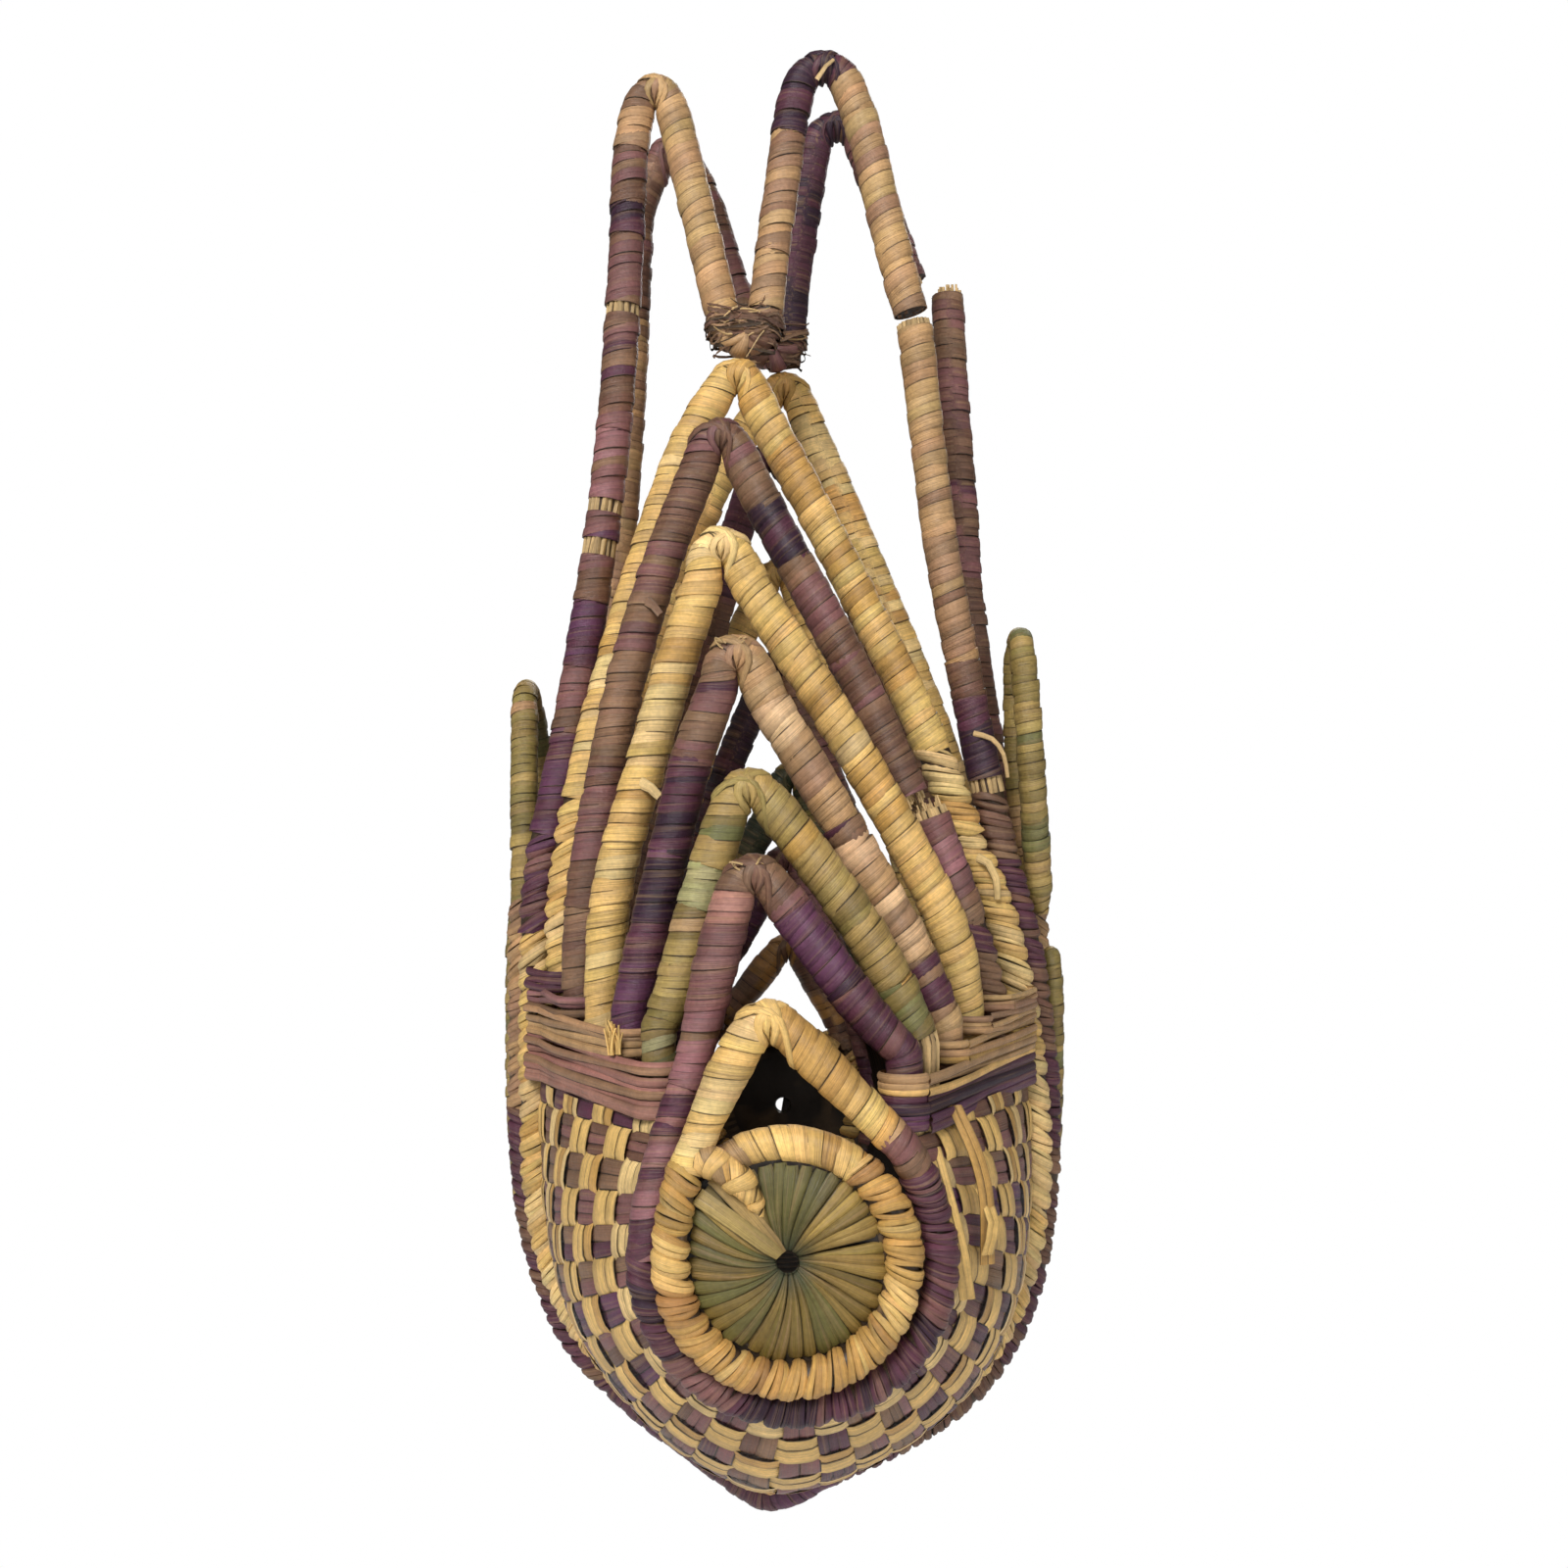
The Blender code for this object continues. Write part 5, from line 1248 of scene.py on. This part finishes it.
def knot(side, hoop, path, back):
    """Worn fibres tangled round both inner legs of the ears, above the valley."""
    rng = np.random.default_rng(61 + back)
    strips = Strips()
    middle = hoop["lashing"] * HEIGHT - HANG_HEIGHT
    valley_x = hoop["valley"][0] * HALF_WIDTH
    low = hoop["valley"][1] * HEIGHT - HANG_HEIGHT
    for _ in range(KNOT_FIBRES):
        level = middle + rng.uniform(-0.0112, -0.0030)
        here = max(level, low + 0.0052)
        found = crossings(path, here)
        legs = [max((leg for leg in found if leg.x < valley_x), key=lambda leg: leg.x),
                min((leg for leg in found if leg.x > valley_x), key=lambda leg: leg.x)]
        reach = (HOOP_DIAMETER / 2 + rng.uniform(0.0, 0.0007)) * (1 - 0.45 * ease((here - level) / 0.006))
        if rng.random() < 0.55:
            legs[0] = legs[1] = legs[int(rng.random() < 0.8)]
        angles = np.linspace(0, FULL_TURN, 33) + rng.uniform(0, 6)
        share = (np.cos(angles) + 1) / 2
        centre = legs[0].x + (legs[1].x - legs[0].x) * np.clip(share * 1.6 - 0.3, 0, 1)
        lift = rng.normal(0, 0.0019) * np.cos(angles + rng.uniform(-0.5, 0.5))
        lift = lift + rng.normal(0, 0.0006) * np.sin(3 * angles + rng.uniform(0, 6))
        line = np.stack([
            centre + np.cos(angles) * reach, legs[0].y + np.sin(angles) * reach,
            level + lift + rng.normal(0, 0.0002)], 1)
        if rng.random() < 0.35:
            line = line[:rng.integers(14, 28)]
        leans = [0.3 * rng.normal(0, 1, len(line)) for _ in range(2)]
        up = unit(np.stack([*leans, np.ones(len(line))], 1))
        dye = pick_dyes(1, KNOTS_AND_SHADE, rng)[0]
        outward = line - np.array([(legs[0].x + legs[1].x) / 2, legs[0].y, 0]) * np.array([1, 1, 0])
        ribbon(strips, line, up, rng.uniform(0.0004, 0.0013), dye, outward=outward * np.array([1, 1, 0]),
               seed=rng.random() * 30, curl=0.00015)
    for _ in range(KNOT_STRAWS):
        at = np.array([valley_x + rng.normal(0, 0.003), -EAR_ROW - rng.uniform(0.003, 0.0050),
            middle - rng.uniform(0.002, 0.009)])
        along = np.array([rng.choice((-1, 1)) * rng.uniform(0.5, 1), -0.15 * rng.random(),
            rng.uniform(-0.7, 0.5)])
        straws(strips, at, along, 1, rng.uniform(0.003, 0.007), 0.30, rng, bundle=0.001,
               dye=("straw", "taupe", "brown", "core")[rng.integers(4)], thick=rng.uniform(0.00014, 0.0003))
    strips.build(f"{side}_valley_lashing", "fibres")


def middle_rods(keel):
    """The side loops and the belt, which stand between the halves."""
    front_end = seam_from(keel)
    back_end = [Vector((-point.x, -point.y, point.z)) for point in front_end]
    for name, end, outward in (("left", front_end, -1), ("right", back_end, 1)):
        track = Track(side_loop_path(end, *SIDE_LOOPS[name]), (outward, 0, 0))
        taper = np.interp(track.places, (0, track.length - 0.006, track.length), (1, 1, 0.45))
        dress(f"side_loop_{name}", track, SIDE_LOOP_DIAMETER / 2 * taper)
    centre = np.array(place(ROSETTE_SHARES, 0))
    path = belt_path()
    track = Track(path + [path[0]], lambda points: (points - centre) * FLAT)
    front_run = [point for point in path[:len(path) // 2] if point.y < -0.95 * BELT_ROW]
    middle = np.array([(point.x, 0, point.z) for point in front_run])

    def filling(strips, track, rng):
        across = np.broadcast_to(np.array((0.0, 1.0, 0.0)), middle.shape)
        ribbon(strips, middle, across, BELT_DIAMETER, DYES["olive"])

    dress("gusset_belt", track, BELT_DIAMETER / 2, extra=filling)


def even_run(path, count):
    """A number of points at even distances along a path."""
    track = Track(path)
    return track.at(np.linspace(0, track.length, count), track.points)


def wall_surface(ring, border, stations, columns):
    """Points of the woven wall, stations round it and columns from ring to border."""
    inner = even_run([point for point in ring if point.z <= WALL_TOP], stations)
    outer = even_run([point for point in border if point.z <= WALL_TOP], stations)
    centre = np.array(place(ROSETTE_SHARES, 0))
    chord = outer - inner
    along = unit(chord)
    outward = unit(np.cross(along, np.gradient(inner, axis=0) + np.gradient(outer, axis=0)))
    outward = outward * np.sign(dot(outward * (inner - centre), FLAT))
    share = np.linspace(0, 1, stations)
    swell = WALL_EDGE_BULGE + (WALL_BULGE - WALL_EDGE_BULGE) * np.sin(math.pi * share)
    start = inner + along * (RING_DIAMETER / 2 + HEM_GAP)
    end = outer - along * (COIL_DIAMETER / 2 + HEM_GAP)
    across = np.linspace(0, 1, columns)
    points = start[:, None] + (end - start)[:, None] * across[None, :, None]
    points = points + outward[:, None] * (swell[:, None] * np.sin(math.pi * across)[None, :])[..., None]
    down = np.gradient(points, axis=0)
    over = np.gradient(points, axis=1)
    normal = unit(np.cross(down, over))
    normal *= np.sign(dot(normal, outward[:, None]))
    return points, normal, unit(down), unit(over)


def woven_wall(ring, border, back):
    """Yellow warps round the medallion, over and under plum wefts from ring to border."""
    side = "back" if back else "front"
    rng = np.random.default_rng(71 + back)
    half_cell = CELL_STEPS // 2
    stations = (WEFTS - 1) * CELL_STEPS + 1
    columns = WARPS * CELL_STEPS + 1
    points, normal, down, over = wall_surface(ring, border, stations, columns)
    strips = Strips()
    spacing = np.linalg.norm(np.gradient(points, axis=1), axis=2) * CELL_STEPS
    rows = np.arange(stations) / CELL_STEPS
    # A sheet of painted shade behind the weave, which shows dark through the gaps between strands
    shade_sheet = points - normal * SHADE_SHEET_DEPTH
    shade_sheet[:, 0] = shade_sheet[:, 0] - over[:, 0] * SHADE_SHEET_HEM
    shade_sheet[:, -1] = shade_sheet[:, -1] + over[:, -1] * SHADE_SHEET_HEM
    for column in range(columns - 1):
        strips.add(shade_sheet[:, column:column + 2], DYES["shade"], (0.3, 0.7), rows * 0.006, 2.0)

    def wave(share):
        flat = np.tanh(WEAVE_FLATNESS * np.cos(math.pi * share))
        return WEAVE_DEPTH * flat / math.tanh(WEAVE_FLATNESS)

    for warp in range(WARPS):
        column = half_cell + warp * CELL_STEPS
        height = wave(rows + warp)
        count = rng.integers(2, 4)
        full = spacing[:, column] * (1.02 + 0.05 * np.sin(rows * 0.7 + rng.uniform(0, 6)))
        drift = 0.0004 * np.sin(rows * 0.45 + rng.uniform(0, 6))
        shares = np.cumsum(rng.uniform(0.7, 1.3, count))
        shares = np.concatenate([[0], shares]) / shares[-1]
        for strand in range(count):
            middle_share = (shares[strand] + shares[strand + 1]) / 2 - 0.5
            part = shares[strand + 1] - shares[strand]
            middle = points[:, column] + over[:, column] * (middle_share * full + drift)[:, None]
            rub = rng.normal(0, 0.00008) + 0.00008 * np.sin(rows * 1.3 + rng.uniform(0, 6))
            middle = middle + normal[:, column] * (height + rub + 0.00025)[:, None]
            dye = np.array(DYES[list(WARP_DYES)[rng.choice(3, p=list(WARP_DYES.values()))]])
            dye = dye * (rng.uniform(0.85, 1.08, (stations // 12 + 2, 1)))
            dye = np.repeat(dye, 12, 0)[:stations]
            ribbon(strips, middle, over[:, column], full * part * 1.02, dye, outward=normal[:, column],
                   seed=rng.random() * 40, curl=0.00018, columns=5)
    places = np.arange(columns)
    steps = (places - half_cell) / CELL_STEPS
    for weft in range(WEFTS):
        row = weft * CELL_STEPS
        height = -wave(steps + weft)
        spread = np.linalg.norm(np.gradient(points, axis=0)[row], axis=1) * CELL_STEPS
        spread = spread * rng.uniform(0.92, 1.0)
        palette = (PLUMS, GRAPES, MAUVES, LIGHT_MAUVES)[rng.choice(4, p=(0.3, 0.2, 0.35, 0.15))]
        strands = rng.choice((2, 2, 3))
        for strand in range(strands):
            offset = ((strand + 0.5) / strands - 0.5) * spread
            offset = offset + 0.00015 * np.sin(places * 0.3 + rng.uniform(0, 6))
            out = height + rng.normal(0, 0.00008)
            middle = points[row] + down[row] * offset[:, None] + normal[row] * out[:, None]
            dye = pick_dyes(1, palette, rng)[0]
            ribbon(strips, middle, down[row], spread / strands * 1.04, dye, outward=normal[row],
                   seed=rng.random() * 40, curl=0.00020, columns=5)
    if not back:
        for spots, width, dye in LOOSE_WARPS:
            line = as_array(smooth([place(spot[:2], spot[2]) for spot in spots]))
            across = np.broadcast_to(np.array((0.93, 0.36, 0.0)), line.shape)
            outward = np.broadcast_to(np.array((0.3, -1, 0)), line.shape)
            for strand in (-0.25, 0.25):
                shade = np.array(DYES[dye]) * rng.uniform(0.85, 1.05)
                ribbon(strips, line + across * width * strand * 1.02, across, width / 2, shade,
                    outward=outward, seed=rng.random() * 40, curl=0.0002)
    strips.build(f"{side}_woven_wall", "weave")


def rosette(back):
    """Radial leaf strips that lap one over the next round the hole."""
    side = "back" if back else "front"
    rng = np.random.default_rng(91 + back)
    strips = Strips()
    centre = np.array(place(ROSETTE_SHARES, RING_1_ROW))
    rows = LEAF_STEPS
    share = np.linspace(0, 1, rows)
    inner = ROSETTE_HOLE_RADIUS * 0.92

    def leaf(turn, outer, lift, width, dye, ridge=1.0):
        reach = inner + (outer - inner) * share
        rise = lift + 0.0016 - 0.0030 * share ** 3 - 0.0022 * (1 - share) ** 5
        middle = centre + np.stack([np.cos(turn) * reach, -rise, np.sin(turn) * reach], 1)
        across = np.stack([-np.sin(turn), np.zeros(rows), np.cos(turn)], 1)
        flatter = np.interp(share, (0, 0.2, 1), (0.35, 0.8, 1.0))
        grid = np.empty((rows, len(LEAF_PROFILE), 3))
        for column, (spot, height) in enumerate(LEAF_PROFILE):
            grid[:, column] = middle + across * (width * (0.5 - spot))[:, None]
            grid[:, column, 1] -= height * ridge * flatter - 0.00022 * (0.5 - spot)
        strips.add(grid, dye, [spot for spot, _ in LEAF_PROFILE], reach, rng.random() * 60)

    dark = np.array(DYES["dark_green"])
    for number in range(LEAF_COUNT):
        angle = -FULL_TURN * number / LEAF_COUNT + rng.normal(0, 0.022)
        turn = angle + rng.uniform(0.16, 0.30) * (1 - share) ** 1.6
        width = np.interp(share, (0, 0.2, 0.85, 0.95, 1), (0.0006, 0.0012, 0.0030, 0.0031, 0.0025))
        width = width * rng.uniform(0.92, 1.08)
        greener = math.cos(angle - math.radians(225)) > 0.25 or math.cos(angle - math.radians(85)) > 0.9
        dye = pick_dyes(1, GREEN_LEAVES if greener else LEAVES, rng)[0] * LEAF_SHADE
        fade = np.clip(1 - share * 3.2, 0, 1)[:, None]
        corner = 0.0028 * math.exp(-((angle % (FULL_TURN) - math.radians(143)) / 0.30) ** 2)
        leaf(turn, ROSETTE_RADIUS + rng.uniform(0.0004, 0.0014) + corner, rng.normal(0, 0.00012), width,
             dark * fade + dye * (1 - fade))
    for angle, lift in ((131, 0.0008), (144, 0.0012)):
        turn = np.full(rows, math.radians(angle)) - 0.12 * (1 - share)
        width = np.interp(share, (0, 0.15, 1), (0.0022, 0.0032, 0.0037))
        leaf(turn, ROSETTE_RADIUS + 0.0036, lift, width, pick_dyes(1, dict(khaki=1), rng)[0] * 0.85, 0.6)
    if back:
        # A sheet of painted shade over the left of the back rosette's hole
        strips.add(centre + np.array(HOLE_SHADE), DYES["shade"], (0.3, 0.7), (0, 0.01), 1.0)
    # A disc of painted shade behind the leaves, which shows dark between and round them
    ring = ring_of(np.linspace(0, FULL_TURN, 49))
    shade_disc = np.stack([centre + ring * reach + np.array([0, depth, 0]) for reach, depth in (
        (inner, -0.0004), (ROSETTE_HOLE_RADIUS * 1.1, 0.0014), (ROSETTE_RADIUS, 0.0012))])
    strips.add(shade_disc, DYES["shade"], np.linspace(0.3, 0.7, 49), [0, 0.002, 0.018], 1.0)
    strips.build(f"{side}_rosette", "leaves")


def weft_band(name, side, legs, border, back):
    """Rows of weft, each bound in a flat ring round the feet of the legs that it holds."""
    half = "back" if back else "front"
    rng = np.random.default_rng(len(name) + 40 + back)
    strips = Strips()
    flat = [np.array((leg.x, leg.y, 0.0)) for leg in legs]
    level = band_top(BORDER_ROW, side)
    coil = min((point for point in border if point.x * side > 0), key=lambda point: abs(point.z - level))
    coil = np.array((coil.x, coil.y, 0.0))
    end = coil - unit(coil - flat[-1]) * (COIL_DIAMETER / 2 + HEM_GAP)
    for low, high, first, palette, strands in BAND_ROWS[name]:
        held = flat[first:] + [end]
        points, out = racetrack(held, FOOT_RADIUS + CLEARANCE + BAND_COVER * 0.55)
        for strand in range(strands):
            share = (strand + 0.5) / strands
            level_at = WALL_TOP + low + (high - low) * share + rng.normal(0, 0.00015)
            sway = np.sin(np.linspace(0, rng.uniform(5, 14), len(points)) + rng.uniform(0, 6))
            middle = points + out * (rng.uniform(0, 0.0009) + 0.0003 * sway[::-1])[:, None]
            middle = middle + UP * (level_at + 0.00035 * sway)[:, None]
            upright = unit(UP + out * rng.normal(0, 0.25))
            width = (high - low) / strands * rng.uniform(1.15, 1.5)
            ribbon(strips, middle, upright, width, pick_dyes(1, palette, rng)[0],
                outward=out, seed=rng.random() * 60, curl=0.0005, columns=6)
    if name == "left" and not back:
        stub = np.array(place((-0.512, 0.338), LOOP_7_ROW + 3 * LOOP_PITCH + 0.0062))
        straws(strips, stub, (-0.08, 0, 1), 16, 0.0075, 0.10, rng, bundle=0.0014, dye="yellow", thick=0.00036)
    strips.build(f"{half}_weft_band_{name}", "rows")


def racetrack(held, reach):
    """The points of a closed flat ring round a row of feet, and its outward directions."""
    line = Track([Vector(point) for point in held], (0, 0, 1))
    left = line.points + line.side * reach
    right = line.points[::-1] - line.side[::-1] * reach
    caps = []
    for centre, along, side, sign in ((line.points[-1], line.along[-1], line.side[-1], 1),
                                      (line.points[0], line.along[0], line.side[0], -1)):
        angles = np.linspace(0.1, 0.9, 7) * math.pi
        squash = 0.25 if sign > 0 else 1.0
        swing = np.cos(angles)[:, None] * side * sign
        caps.append(centre + reach * (swing + np.sin(angles)[:, None] * along * sign * squash))
    points = np.concatenate([left, caps[0], right, caps[1], left[:1]])
    out = unit(np.cross(np.gradient(points, axis=0), UP), 1e-12)
    if np.dot(out[0], left[0] - line.points[0]) < 0:
        out = -out
    return points, out


def band_legs(back):
    """The tops of the legs that each weft band holds."""
    loops = BACK_LOOPS if back else FRONT_LOOPS
    left = [leg_top(loops[n][0][0], loop_row(n), -1) for n in (3, 4, 5, 6, 7)]
    right = [leg_top(loops[2][2][-1], RING_2_ROW - LOOP_2_TUCK, 1)]
    right += [leg_top(loops[n][2][-1], loop_row(n), 1) for n in (3, 4, 5)]
    right.append(leg_top(LOOP_6_STUMP_SHARES[-1], loop_row(6), 1))
    return left, right


def seen_white(tree, shaded, white, output):
    """Shows the camera one shader and gives the light another."""
    rays = tree.nodes.new("ShaderNodeLightPath")
    mix = tree.nodes.new("ShaderNodeMixShader")
    tree.links.new(rays.outputs["Is Camera Ray"], mix.inputs[0])
    tree.links.new(shaded.outputs[0], mix.inputs[1])
    tree.links.new(white.outputs[0], mix.inputs[2])
    tree.links.new(mix.outputs[0], tree.nodes[output].inputs["Surface"])


def shine(shader, colour, strength):
    shader.inputs["Color"].default_value = colour
    shader.inputs["Strength"].default_value = strength
    return shader


def stage():
    """A pale floor below the hanging pouch, a white background and soft lamps."""
    mesh = bpy.data.meshes.new("floor")
    low = -HANG_HEIGHT - FLOOR_DROP
    corners = [(x * FLOOR_REACH, y * FLOOR_REACH, low) for x, y in ((-1, -1), (1, -1), (1, 1), (-1, 1))]
    mesh.from_pydata(corners, [], [(0, 1, 2, 3)])
    floor = show("floor", mesh)
    material = bpy.data.materials.new("pale_floor")
    material.use_nodes = True
    tree = material.node_tree
    shader = tree.nodes["Principled BSDF"]
    shader.inputs["Base Color"].default_value = FLOOR_COLOUR
    shader.inputs["Roughness"].default_value = 0.9
    seen_white(tree, shader, shine(tree.nodes.new("ShaderNodeEmission"), WHITE, 1.0), "Material Output")
    mesh.materials.append(material)

    world = bpy.data.worlds.new("studio")
    bpy.context.scene.world = world
    world.use_nodes = True
    tree = world.node_tree
    ambient = shine(tree.nodes["Background"], WHITE, AMBIENT)
    seen_white(tree, ambient, shine(tree.nodes.new("ShaderNodeBackground"), WHITE, 1.0), "World Output")

    for name, spot, size, energy in LAMPS:
        lamp = bpy.data.lights.new(name, "AREA")
        lamp.size = size
        lamp.energy = energy
        holder = show(name, lamp)
        holder.location = spot
        holder.rotation_euler = (LAMP_AIM - Vector(spot)).to_track_quat("-Z", "Y").to_euler()


def camera():
    data = bpy.data.cameras.new("camera")
    data.lens = CAMERA_LENS
    data.sensor_width = CAMERA_SENSOR
    data.shift_x, data.shift_y = CAMERA_SHIFT
    data.clip_start = CAMERA_NEAR
    holder = show("camera", data)
    holder.location = CAMERA_PLACE
    holder.rotation_euler = (math.pi / 2, 0, 0)
    bpy.context.scene.camera = holder


def main():
    for back in (False, True):
        ring, border, keel = half_rods(back)
        woven_wall(ring, border, back)
        rosette(back)
        left_legs, right_legs = band_legs(back)
        weft_band("left", -1, left_legs, border, back)
        weft_band("right", 1, right_legs, border, back)
        if not back:
            middle_rods(keel)
    stage()
    camera()
    bpy.context.scene.view_settings.view_transform = "Standard"


main()
